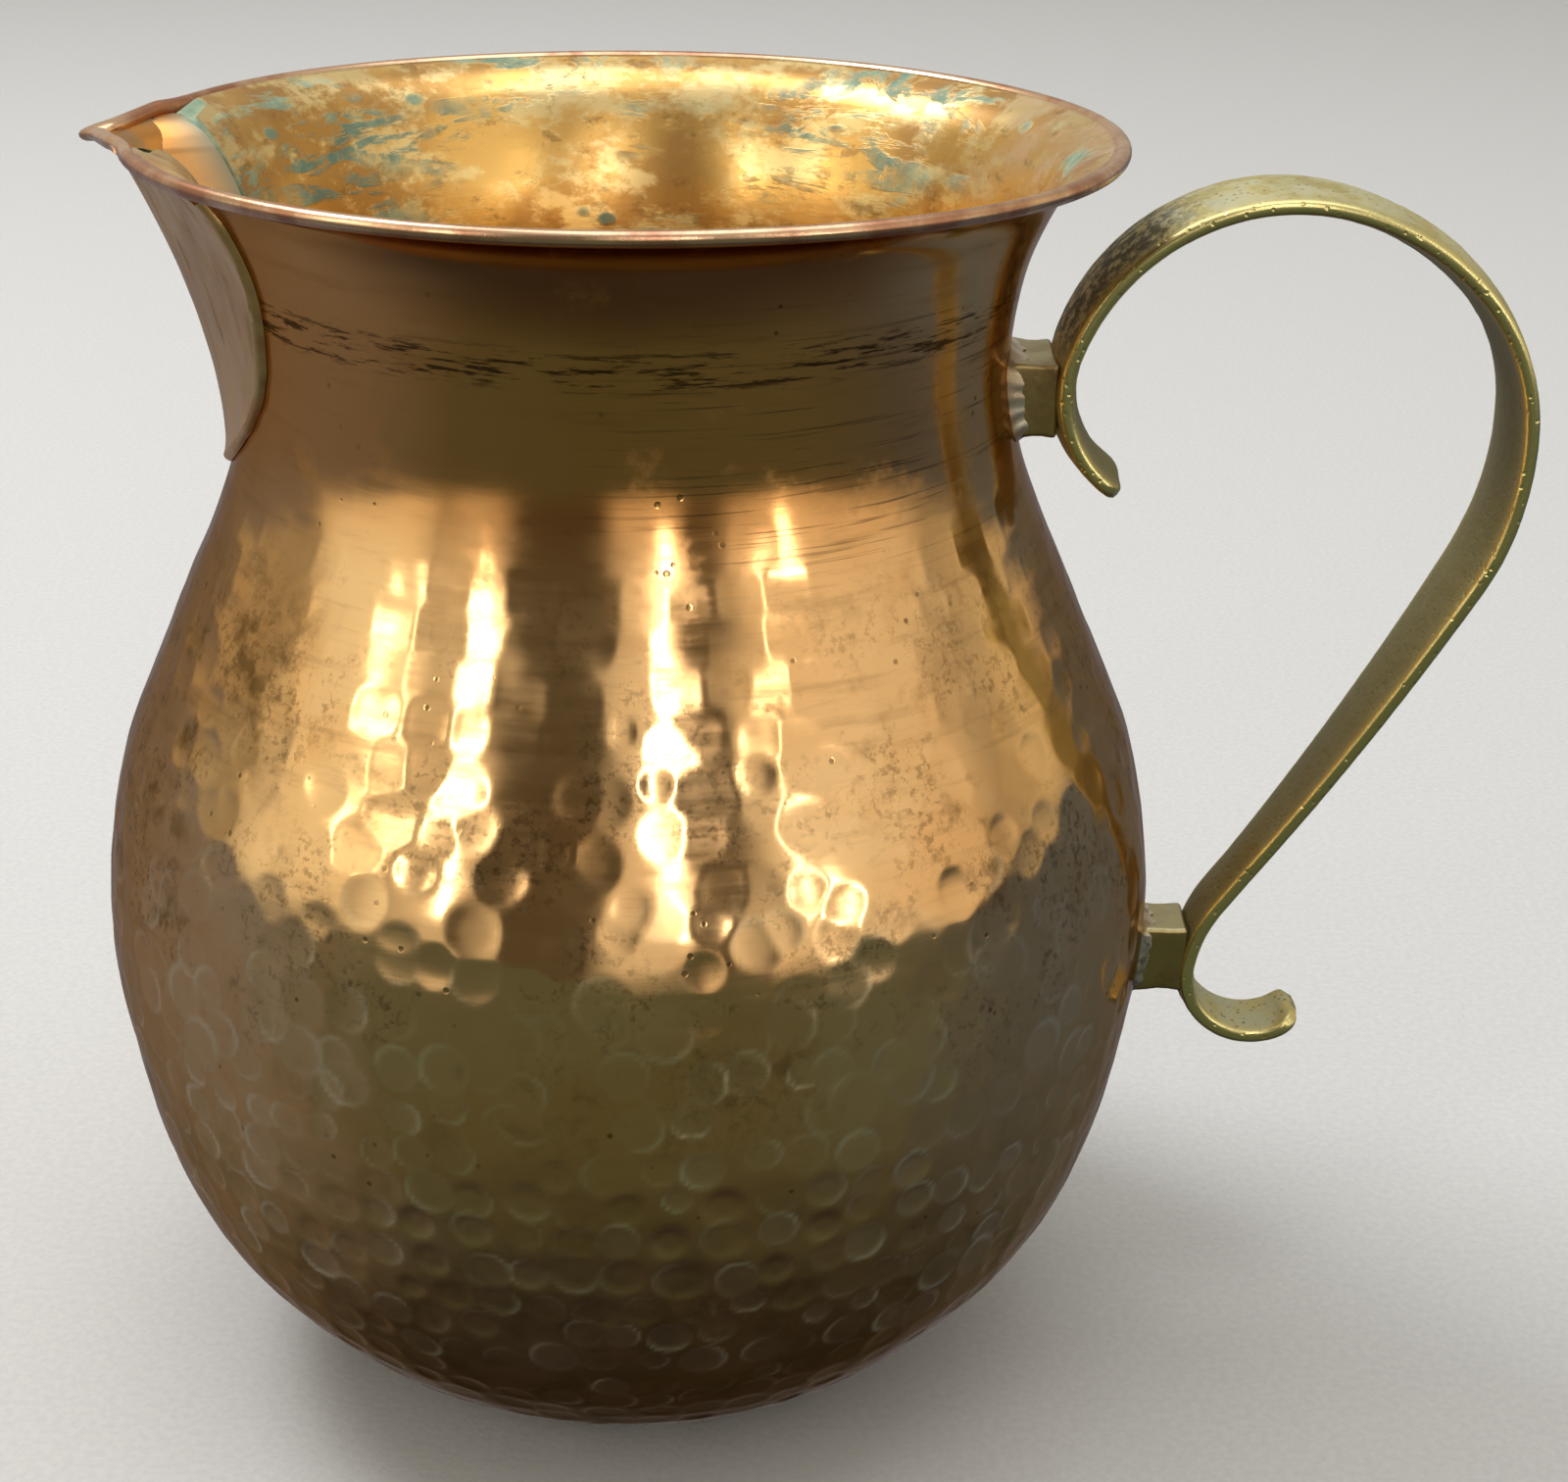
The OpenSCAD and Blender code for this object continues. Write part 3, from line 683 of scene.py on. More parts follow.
class JUG_OT_body(bpy.types.Operator):
    """Build the hammered body: outside, rolled rim and inside as one closed sheet"""
    bl_idname = "jug.body"
    bl_label = "Hammered body"

    def execute(self, context):
        s, f = context.scene.jug_sizes, context.scene.jug_finish
        columns = COLUMNS
        line = resample(Profile(s).line, ROW_STEP)
        dist = along(line) + s.base_radius
        tangent = np.gradient(line, axis=0)
        tangent /= np.linalg.norm(tangent, axis=1)[:, None]
        normal = np.stack([tangent[:, 1], -tangent[:, 0]], axis=1)
        marks, tones = hammer_field(s, line[:, 0], dist, line[:, 1], columns)
        dents = wave_field(s.seed + 1, dist * 1000, columns)
        soft = 0.20 * MM * ramp(line[:, 1], 0.004, 0.02) * (1 - 0.75 * ramp(line[:, 1], 0.11, 0.13))
        sink = marks + dents * (soft * (1 - ramp(line[:, 1], 0.150, 0.154)))[:, None]
        rows, sinks, kinds, shines = [], [], [], []
        for r in (0.18, 0.42, 0.66, 0.86):
            rows.append((r * s.base_radius, 0.0, 0.0, 0.0))
            sinks.append(np.zeros(columns))
            shines.append(np.zeros(columns))
            kinds.append(0)
        for p, m, d, g in zip(line, normal, sink, tones):
            rows.append((p[0], p[1], m[0], m[1]))
            sinks.append(d)
            shines.append(g)
            kinds.append(0)
        outer = list(range(len(rows) - len(line), len(rows)))
        centre = (s.rim_radius - s.bead_radius, s.height - s.bead_radius)
        for a in range(-110, 151, 20):
            c, e = math.cos(math.radians(a)), math.sin(math.radians(a))
            rows.append((centre[0] + s.bead_radius * c, centre[1] + s.bead_radius * e, c, e))
            sinks.append(np.zeros(columns))
            kinds.append(2)
        match = {}
        for k in range(len(line) - 1, 0, -1):
            if line[k][1] <= SLOT_FOOT and k % 4:
                continue
            q = line[k] - s.wall * normal[k]
            if q[1] < s.wall:
                break
            match[outer[k]] = len(rows)
            rows.append((q[0], q[1], -normal[k][0], -normal[k][1]))
            sinks.append(0.6 * dents[k] * soft[k] * -1 + 0.35 * marks[k] * -1)
            kinds.append(1)
        for r in (0.95, 0.6, 0.3):
            rows.append((r * s.base_radius, s.wall, 0.0, 0.0))
            sinks.append(np.zeros(columns))
            kinds.append(1)
        # The opening behind the spout: half width of the gap at each height.
        uniform = np.arange(columns) / columns * 2 * math.pi
        points, crevice, offsets, open_row = [], [], [], []
        wear_and_glint = []
        plain = np.zeros(columns)
        for (r, z, nr, nz), d, g in zip(rows, sinks, shines + [plain] * (len(rows) - len(shines))):
            half = float(np.interp(z, SLOT_HEIGHTS, SLOT_WIDTHS)) if r > 0.03 else 0.0
            phi = math.asin(min(0.9, half / max(r, 1e-4)))
            opened = phi > 1e-6
            count = columns + 1 if opened else columns
            t = phi + (2 * math.pi - 2 * phi) * np.arange(count) / columns
            # The first and last strips are narrow, which keeps the cut edges crisp.
            t[1] = t[0] + 0.12 * MM / max(r, 0.01)
            t[columns - 1] = 2 * math.pi - t[1]
            whole = np.append(uniform, 2 * math.pi)
            d = np.interp(t, whole, np.append(d, d[0]))
            g = np.interp(t, whole, np.append(g, g[0]))
            wear_and_glint += list(g)
            warp = float(ramp(z, 0.135, 0.155)) * rim_warp(t)
            rr, zz = r - nr * d, z - nz * d + warp
            offsets.append(len(points))
            open_row.append(opened)
            points += list(np.stack([-rr * np.cos(t), -rr * np.sin(t), zz], axis=1))
            away = np.minimum(t - phi, 2 * math.pi - phi - t) * max(r, 0.02)
            near = np.clip(1 - away / (0.8 * MM), 0, 1) * (1.0 if half > 2 * MM else 0.0)
            crevice += list(near)

        def at(i, j):
            if not open_row[i]:
                j %= columns
            return offsets[i] + j

        faces, parts = [], []
        for i in range(len(rows) - 1):
            for j in range(columns):
                faces.append((at(i, j), at(i, j + 1), at(i + 1, j + 1), at(i + 1, j)))
                parts.append(max(kinds[i], kinds[i + 1]) if 2 in (kinds[i], kinds[i + 1])
                             else kinds[i + 1])
        first = next(i for i in outer if open_row[i])
        for side in (0, columns):
            for i in range(first - 1, outer[-1]):
                a, b = at(i, side), at(i + 1, side)
                c, d = at(match[i + 1], side), at(match[i], side)
                faces.append((a, b, c, d))
                parts.append(1)
            last = outer[-1]
            faces.append(tuple(at(k, side) for k in range(last, match[last] + 1)))
            parts.append(2)
        # The base's two centres.
        for i, z in ((0, 0.0), (len(rows) - 1, s.wall)):
            points.append(np.array([0.0, 0.0, z]))
            crevice.append(0.0)
            wear_and_glint.append(0.0)
            c = len(points) - 1
            for j in range(columns):
                faces.append((at(i, j), at(i, j + 1), c))
                parts.append(kinds[i])
        mesh_object("jug_hammered_body", points, faces,
                    [copper_outside(f), copper_inside(f),
                     shared("worn_rim_copper", copper_rim, f)],
                    ["jug_body"], parts=parts, attributes=(("crevice", crevice), ("wear_and_glint", wear_and_glint)))
        return {"FINISHED"}


class SpoutShape:
    """The spout panel: a flat-sided fold that meets the neck as a tangent."""

    def __init__(self, s, p):
        self.s, self.p = s, p
        self.profile = Profile(s)
        self.foot = s.height - p.panel_height
        self.lip = s.height - 5 * MM
        self.keel_top = p.reach - p.tip_flare - 0.2 * MM
        self.keel_foot = self.profile.radius(self.foot) + p.sheet + 0.38 * MM

    def keel(self, z):
        rise = min(1, max(0, (z - self.foot) / (self.lip + MM - self.foot)))
        flare = min(1, max(0, (z - self.lip - MM) / (4 * MM - self.p.tip_dip)))
        return (self.keel_foot + (self.keel_top - self.keel_foot) * rise ** 1.75
                + self.p.tip_flare * flare ** 2)

    def lap(self, z):
        up = min(1, max(0, (z - self.s.height + 10 * MM) / (7 * MM)))
        down = 1 - min(1, max(0, (z - self.foot) / (8 * MM)))
        return (0.03 + 0.16 * up ** 2 + 0.10 * down) * MM

    def sheet_radius(self, z):
        return min(self.s.rim_radius, float(self.profile.radius(z)) + self.lap(z) + self.p.sheet)

    def lean(self, z):
        r = self.sheet_radius(z)
        return math.degrees(math.acos(min(0.9999, r / max(self.keel(z), r + 0.02 * MM)))) + FOLD_SOFT

    def edge(self, z):
        down = 1 - min(1, max(0, (z - self.foot) / (12 * MM)))
        return self.lean(z) + 1.5 - 2.5 * down ** 2

    def top(self, v):
        p = 1 - abs(v)
        return self.s.height - 0.15 * MM - (self.p.tip_dip - 0.15 * MM) * p ** 2 * (2 - p ** 2)

    def point(self, v, w, inset=0.0, tucked=False):
        """A point of the panel; at its sides the tucked panel ends under the rolled rim."""
        top = self.top(v)
        if tucked:
            under = self.s.height - 1.6 * MM
            top += (min(top, under) - top) * float(ramp(abs(v), 0.54, 0.64))
        z = self.foot + (top - self.foot) * w
        a = v * self.edge(z)
        b, e = math.hypot(a, FOLD_SOFT), self.lean(z)
        r = (self.sheet_radius(z) - inset) / (math.cos(math.radians(e - b)) if b < e else 1)
        return np.array([-r * math.cos(math.radians(a)), -r * math.sin(math.radians(a)), z])


class JUG_OT_spout(bpy.types.Operator):
    """Build the folded spout panel, its rolled lip and the solder line along its edge"""
    bl_idname = "jug.spout"
    bl_label = "Spout"

    def execute(self, context):
        s, p, f = context.scene.jug_sizes, context.scene.jug_spout, context.scene.jug_finish
        shape = SpoutShape(s, p)
        up, across = 70, 64
        grids, crevice = [], []
        for inset in (0.0, p.sheet):
            grid = np.zeros((up + 1, across + 1, 3))
            for i in range(up + 1):
                w = (i / up) ** 0.9
                for j in range(across + 1):
                    v = 2 * j / across - 1
                    q = shape.point(v, w * 0.997, inset, True)
                    dent = noise.noise(Vector(q) * 190.0) * 0.10 * MM * (1 - w ** 4)
                    grid[i, j] = q + np.array([dent, 0, 0]) * (1 - abs(v) ** 3)
            grids.append(grid)
        points = np.vstack([g.reshape(-1, 3) for g in grids])
        for k, grid in enumerate(grids):
            for i in range(up + 1):
                for j in range(across + 1):
                    z = grid[i, j][2]
                    half = float(np.interp(z, SLOT_HEIGHTS, SLOT_WIDTHS))
                    away = abs(abs(grid[i, j][1]) - half)
                    crevice.append(max(0.0, 1 - away / (1.2 * MM)) if k else 0.0)
        m, half = across + 1, (up + 1) * (across + 1)
        faces, parts = [], []
        for k in (0, 1):
            for i in range(up):
                for j in range(across):
                    a = k * half + i * m + j
                    faces.append((a, a + 1, a + m + 1, a + m))
                    parts.append(k)
        for j in range(across):
            for i in (0, up):
                a = i * m + j
                faces.append((a, a + 1, a + 1 + half, a + half))
                parts.append(0)
        for i in range(up):
            for j in (0, across):
                a = i * m + j
                faces.append((a, a + m, a + m + half, a + half))
                parts.append(0)
        mesh_object("spout_panel", points, faces,
                    [copper_spout(f), shared("polished_spout_copper", copper_spout_inside)],
                    ["spout"], parts=parts, attributes=(("crevice", crevice),))
        self.lip(s, p, f, shape)
        self.seam(s, p, shape)
        self.fillets(s, p, shape)
        return {"FINISHED"}

    def fillets(self, s, p, shape):
        """Solder inside fills the corner between the neck's cut edge and the panel."""
        for side, name in ((-1, "near"), (1, "far")):
            rings = []
            for z in np.linspace(0.1285, 0.1545, 60):
                half = float(np.interp(z, SLOT_HEIGHTS, SLOT_WIDTHS))
                r = float(shape.profile.radius(z))
                a = math.asin(half / r)
                top = 0.55 + 0.45 * float(ramp(0.1560 - z, 0.0015, 0.0060))
                inner = self.place(r - s.wall * 0.86, side * (a + 0.0035), z)
                outer = self.place(r - 0.1 * MM, side * (a + 0.004), z)
                e = shape.lean(z)
                front = []
                for back in (0.055 * top, 0.0, -0.03):
                    b = math.hypot(math.degrees(max(0.01, a - back)), FOLD_SOFT)
                    d = (shape.sheet_radius(z) - p.sheet) / (math.cos(math.radians(e - b))
                                                              if b < e else 1)
                    front.append(self.place(d - 0.03 * MM, side * (a - back), z))
                middle = (np.array(inner) + np.array(front[0])) / 2
                middle[0] -= 0.10 * MM
                rings.append([inner, tuple(middle), front[0], front[1], front[2], outer])
            points, faces = skin(rings)
            near = [(1.0 if k % 6 in (0, 5) else 0.45 if k % 6 == 1 else 0.0)
                    for k in range(len(points))]
            mesh_object("spout_inner_fillet_" + name, points, faces,
                        [shared("polished_spout_copper", copper_spout_inside)],
                        attributes=(("crevice", near),))

    def place(self, r, a, z):
        return (-r * math.cos(a), r * math.sin(a), z)

    def lip(self, s, p, f, shape):
        """The rolled edge goes on around the spout as a slightly flattened roll."""
        steps = 128
        rim = s.rim_radius - s.bead_radius
        reach = 16.35 * MM
        # The turn of the panel where its lip meets the end of the rolled rim.
        spans = np.linspace(0, 1, 400)
        wide = [abs(shape.point(v, 1.0, 0.45 * p.sheet)[1]) for v in spans]
        end = float(np.interp(reach, wide, spans))
        path = []
        for k in range(steps + 1):
            v = end * (2 * k / steps - 1)
            q = shape.point(v, 1.0, 0.45 * p.sheet)
            beak = math.exp(-((v / 0.055) ** 2))
            q[0] += 0.25 * MM - 1.45 * MM * beak
            q[2] = min(q[2], s.height - s.bead_radius) - 0.45 * MM * beak
            t = math.atan2(abs(q[1]), -q[0])
            on_rim = np.array([-rim * math.cos(t), math.copysign(rim * math.sin(t), q[1]),
                               s.height - s.bead_radius + float(rim_warp(np.array(t)))])
            join = float(ramp(min(k, steps - k) / steps, 0.0, 0.20))
            path.append(on_rim + (q - on_rim) * join)
        path = np.array(path)
        rings = []
        for k in range(steps + 1):
            a, b = path[max(0, k - 1)], path[min(steps, k + 1)]
            t = Vector(b - a).normalized()
            out = Vector((path[k][0], path[k][1], 0)).normalized()
            out = (out - t * out.dot(t)).normalized()
            rise = t.cross(out)
            if rise.z < 0:
                rise = -rise
            middle = 1 - abs(2 * k / steps - 1)
            wide = s.bead_radius * (1.0 + 0.30 * float(ramp(middle, 0.2, 0.9)))
            thick = s.bead_radius * (1.0 - 0.18 * float(ramp(middle, 0.2, 0.9)))
            wide *= 1 + 0.06 * noise.noise(Vector(path[k]) * 600.0)
            rings.append([tuple(Vector(path[k]) + out * math.cos(g) * wide
                                + rise * math.sin(g) * thick)
                          for g in np.linspace(0, 2 * math.pi, 20, endpoint=False)])
        points, faces = skin(rings)
        mesh_object("spout_rolled_lip", points, faces,
                    [shared("worn_rim_copper", copper_rim, f)])

    def seam(self, s, p, shape):
        """A raised line of solder down one side of the panel, across its foot and up again."""
        top = s.height - 4.6 * MM
        heights = np.linspace(top, shape.foot, 60)
        line = [(shape.edge(z), z) for z in heights]
        foot = shape.edge(shape.foot)
        line += [(foot * (1 - 2 * k / 24), shape.foot) for k in range(1, 24)]
        line += [(-shape.edge(z), z) for z in heights[::-1]]
        line = np.array(line)
        rings = []
        for i in range(len(line)):
            a, b = line[max(0, i - 1)], line[min(len(line) - 1, i + 1)]
            r0 = float(shape.profile.radius(line[i][1]))
            mm = r0 * math.pi / 180
            t = np.array([(b[0] - a[0]) * mm, b[1] - a[1]])
            t /= max(1e-9, np.linalg.norm(t))
            grit = noise.noise(Vector((line[i][0] * 0.35, line[i][1] * 420.0, 1.7)))
            width = p.seam_width * (1.0 + 0.28 * grit)
            tall = p.sheet * (1.02 + 0.16 * grit)
            ring = []
            for off, h in ((-0.35, 0.75), (-0.25, 1.0), (0.15, 1.12), (0.55, 0.85), (0.85, 0.40),
                           (1.0, 0.02), (0.5, -0.15), (-0.2, -0.1)):
                ang = math.radians(line[i][0] - off * width * t[1] / mm)
                z = line[i][1] + off * width * t[0]
                r = float(shape.profile.radius(z)) + h * tall
                ring.append((-r * math.cos(ang), -r * math.sin(ang), z))
            rings.append(ring)
        points, faces = skin(rings)
        mesh_object("spout_solder_line", points, faces, [seam_metal()], ["spout_seam"])


BENDS = [
    # bend radius in millimetres, and its turn in degrees, from the upper scroll down
    (14.0, -78.0), (26.2, -85.0), (32.0, -34.0), (25.6, -39.0), (37.0, -32.0),
    (405.0, -7.3), (19.0, 27.6), (8.7, 116.0), (5.5, 42.0),
]


def strap_path(step):
    """The strap's middle line: x, z and heading in degrees."""
    out = [(0.0, 0.0, 150.0)]
    x, z, a = 0.0, 0.0, 150.0
    for radius, turn in BENDS:
        length = abs(math.radians(turn)) * radius * MM
        n = max(3, int(math.ceil(length / step)))
        for _ in range(n):
            t = turn / n
            x += length / n * math.cos(math.radians(a + t / 2))
            z += length / n * math.sin(math.radians(a + t / 2))
            a += t
            out.append((x, z, a))
    return np.array(out)


class JUG_OT_handle(bpy.types.Operator):
    """Build the cast brass strap, bent in a chain of arcs with a scroll at each end"""
    bl_idname = "jug.handle"
    bl_label = "Handle strap"

    def execute(self, context):
        h, f = context.scene.jug_handle, context.scene.jug_finish
        path = strap_path(ROW_STEP)
        length = np.concatenate([[0], np.cumsum(np.hypot(*np.diff(path[:, :2], axis=0).T))])
        total = length[-1]
        full = h.width
        leg = np.interp(length / total, [0.0, 0.56, 0.82, 1.0],
                        [full, full, h.width_low, h.width_low])
        # The ends have rounded corners.
        c = h.corner
        for k, d in enumerate(length):
            e = min(d, total - d)
            if e < c:
                leg[k] -= 2 * c * (1 - math.sqrt(max(0.0, 1 - ((c - e) / c) ** 2))) * 0.98
        across = [-0.93, -0.80, -0.62, -0.42, -0.21, 0.0, 0.21, 0.42, 0.62, 0.80, 0.93]
        rings, edges, scales, inner, pitted = [], [], [], [], []
        for k, (x, z, a) in enumerate(path):
            n = np.array([-math.sin(math.radians(a)), 0, math.cos(math.radians(a))])
            w, e = leg[k] / 2, h.edge / 2
            share = min(1.0, leg[k] / full * 1.05)
            mid = (h.edge + (h.middle - h.edge) * share) / 2
            end = min(length[k], total - length[k])
            soft = 1 - 0.35 * (1 - float(ramp(end, 0, 0.9 * MM)))
            section = []
            for u in across:
                section.append((u, (e * 0.97 + (mid - e) * (1 - abs(u) ** 1.5)), 0))
            section += [(0.975, e * 0.90, 1), (0.995, e * 0.66, 1), (1.0, e * 0.25, 0.75),
                        (1.0, -e * 0.25, 0.75), (0.995, -e * 0.66, 1), (0.975, -e * 0.90, 1)]
            for u in across[::-1]:
                section.append((u, -(e * 0.97 + (mid - e) * (1 - abs(u) ** 1.5)), 0))
            section += [(-0.975, -e * 0.90, 1), (-0.995, -e * 0.66, 1), (-1.0, -e * 0.25, 0.75),
                        (-1.0, e * 0.25, 0.75), (-0.995, e * 0.66, 1), (-0.975, e * 0.90, 1)]
            ring = []
            for u, t, mark in section:
                q = np.array([x, 0, z]) + n * t * soft
                q[1] = u * w
                face = 1 - abs(u) ** 6 if mark == 0 else 0
                v = Vector(q)
                g = (noise.noise(v * 700.0) + 0.5 * noise.noise(v * 1500.0)) * h.roughness
                slow = noise.noise(v * 95.0) * 0.10 * MM
                q += n * math.copysign(1, t) * (g * (0.10 + 0.90 * face) + slow * face - 0.06 * MM)
                ring.append(q)
                edges.append(max(mark, 0.9 * max(0.0, abs(u) - 0.9) / 0.1))
                scales.append(face * self.bloom(length[k] / total, t))
                # The inner faces are marked here for painted shade.
                inner.append(face * (1.0 if t < 0 else 0.0))
                share = length[k] / total
                patch = float(ramp(share, 0.085, 0.11) * (1 - ramp(share, 0.17, 0.23)))
                pitted.append(face * patch if t > 0 else 0.0)
            rings.append(ring)
        points, faces = skin(rings)
        # The arcs start at the origin: the strap goes where its CAD solid is.
        low, high = points.min(axis=0), points.max(axis=0)
        want = (np.array(STRAP_LOW) + np.array(STRAP_HIGH)) / 2
        points += want - (low + high) / 2
        mesh_object("handle_cast_strap", points, faces, [brass_strap(f)],
                    ["handle_strap"], attributes=(("edge", edges), ("scale", scales),
                                                  ("inner", inner), ("pitted", pitted)))
        return {"FINISHED"}

    def bloom(self, share, side):
        """Oxide lies on the outside of the upper scroll, on the leg and in the lower scroll."""
        outer = 1.0 if side > 0 else 0.55
        spots = np.interp(share, [0, 0.10, 0.20, 0.30, 0.45, 0.60, 0.72, 0.85, 1.0],
                          [0.6, 0.9, 1.0, 0.75, 0.35, 0.5, 0.9, 1.0, 1.0])
        return float(spots) * outer


class JUG_OT_posts(bpy.types.Operator):
    """Build the two brass posts and the solder around their roots"""
    bl_idname = "jug.posts"
    bl_label = "Posts and solder"

    def execute(self, context):
        s, f = context.scene.jug_sizes, context.scene.jug_finish
        profile = Profile(s)
        brass = brass_post()
        silver = solder_metal(f)
        for which, node, ring_node in (("upper", "upper_post", "upper_solder"),
                                       ("lower", "lower_post", "lower_solder")):
            low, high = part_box(node)
            z0, z1, w = low.z, high.z, high.y
            zc = (z0 + z1) / 2
            r = float(profile.radius(zc))
            self.post(which + "_post_block", node, r - 0.5 * MM, high.x, w, z0, z1, brass, r)
            self.collar(which + "_solder_collar", ring_node, profile, w, z0, z1, silver)
        return {"FINISHED"}

    def post(self, name, node, x0, x1, w, z0, z1, material, r):
        """A block with rounded edges and a slight waist."""
        work = bmesh.new()
        bmesh.ops.create_cube(work, size=1.0)
        for v in work.verts:
            v.co = Vector(((x0 + x1) / 2 + v.co.x * (x1 - x0), v.co.y * 2 * w,
                           (z0 + z1) / 2 + v.co.z * (z1 - z0)))
        bmesh.ops.bevel(work, geom=list(work.edges), offset=0.7 * MM, segments=4, profile=0.6,
                        affect="EDGES")
        bmesh.ops.subdivide_edges(work, edges=list(work.edges), cuts=3, use_grid_fill=True)
        mid = r + 0.55 * (x1 - r)
        for v in work.verts:
            waist = math.exp(-((v.co.x - mid) / (0.35 * (x1 - r))) ** 2)
            v.co.y *= 1 - 0.045 * waist
            v.co.z = (z0 + z1) / 2 + (v.co.z - (z0 + z1) / 2) * (1 - 0.05 * waist)
            v.co += Vector((0, 1, 1)) * noise.noise(v.co * 320.0) * 0.12 * MM
        mesh = bpy.data.meshes.new(name)
        bmesh.ops.triangulate(work, faces=[g for g in work.faces if len(g.verts) > 4])
        work.to_mesh(mesh)
        work.free()
        mesh.materials.append(material)
        mesh.polygons.foreach_set("use_smooth", [True] * len(mesh.polygons))
        piece = bpy.data.objects.new(name, mesh)
        bpy.context.scene.collection.objects.link(piece)
        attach(piece, "root")
        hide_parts(node)

    def collar(self, name, node, profile, w, z0, z1, material):
        """An uneven fillet of solder around the post, lying on the jug."""
        zc, hz = (z0 + z1) / 2, (z1 - z0) / 2
        rings, steps = [], 120
        for k in range(steps):
            a = 2 * math.pi * k / steps
            c, e = math.cos(a), math.sin(a)
            power = 5.0
            q = (abs(c) ** power + abs(e) ** power) ** (-1 / power)
            y, z = w * c * q, zc + hz * e * q
            out = Vector((0, c, e)).normalized()
            grit = noise.noise(Vector((3 * c, 3 * e, z0 * 90)))
            reach = (1.30 + 0.50 * grit) * MM
            rise = (1.75 + 0.7 * noise.noise(Vector((5 * c, 5 * e, 4.0)))) * MM
            ring = []
            for t, h in ((-0.5, -0.35), (-0.35, 0.9), (0.02, 1.0), (0.35, 0.55), (0.7, 0.22),
                         (1.0, 0.02), (0.7, -0.3), (0.1, -0.4)):
                yy, zz = y + out.y * reach * t, z + out.z * reach * t
                r = float(profile.radius(zz))
                ring.append((math.sqrt(max(0, r * r - yy * yy)) + rise * h, yy, zz))
            rings.append(ring)
        m = len(rings[0])
        points = np.array(rings).reshape(-1, 3)
        faces = []
        for k in range(steps):
            for j in range(m):
                a, b = k * m + j, k * m + (j + 1) % m
                c, d = (k + 1) % steps * m + j, (k + 1) % steps * m + (j + 1) % m
                faces.append((a, b, d, c))
        mesh_object(name, points, faces, [material], [node])


# ---------------------------------------------------------------- stage

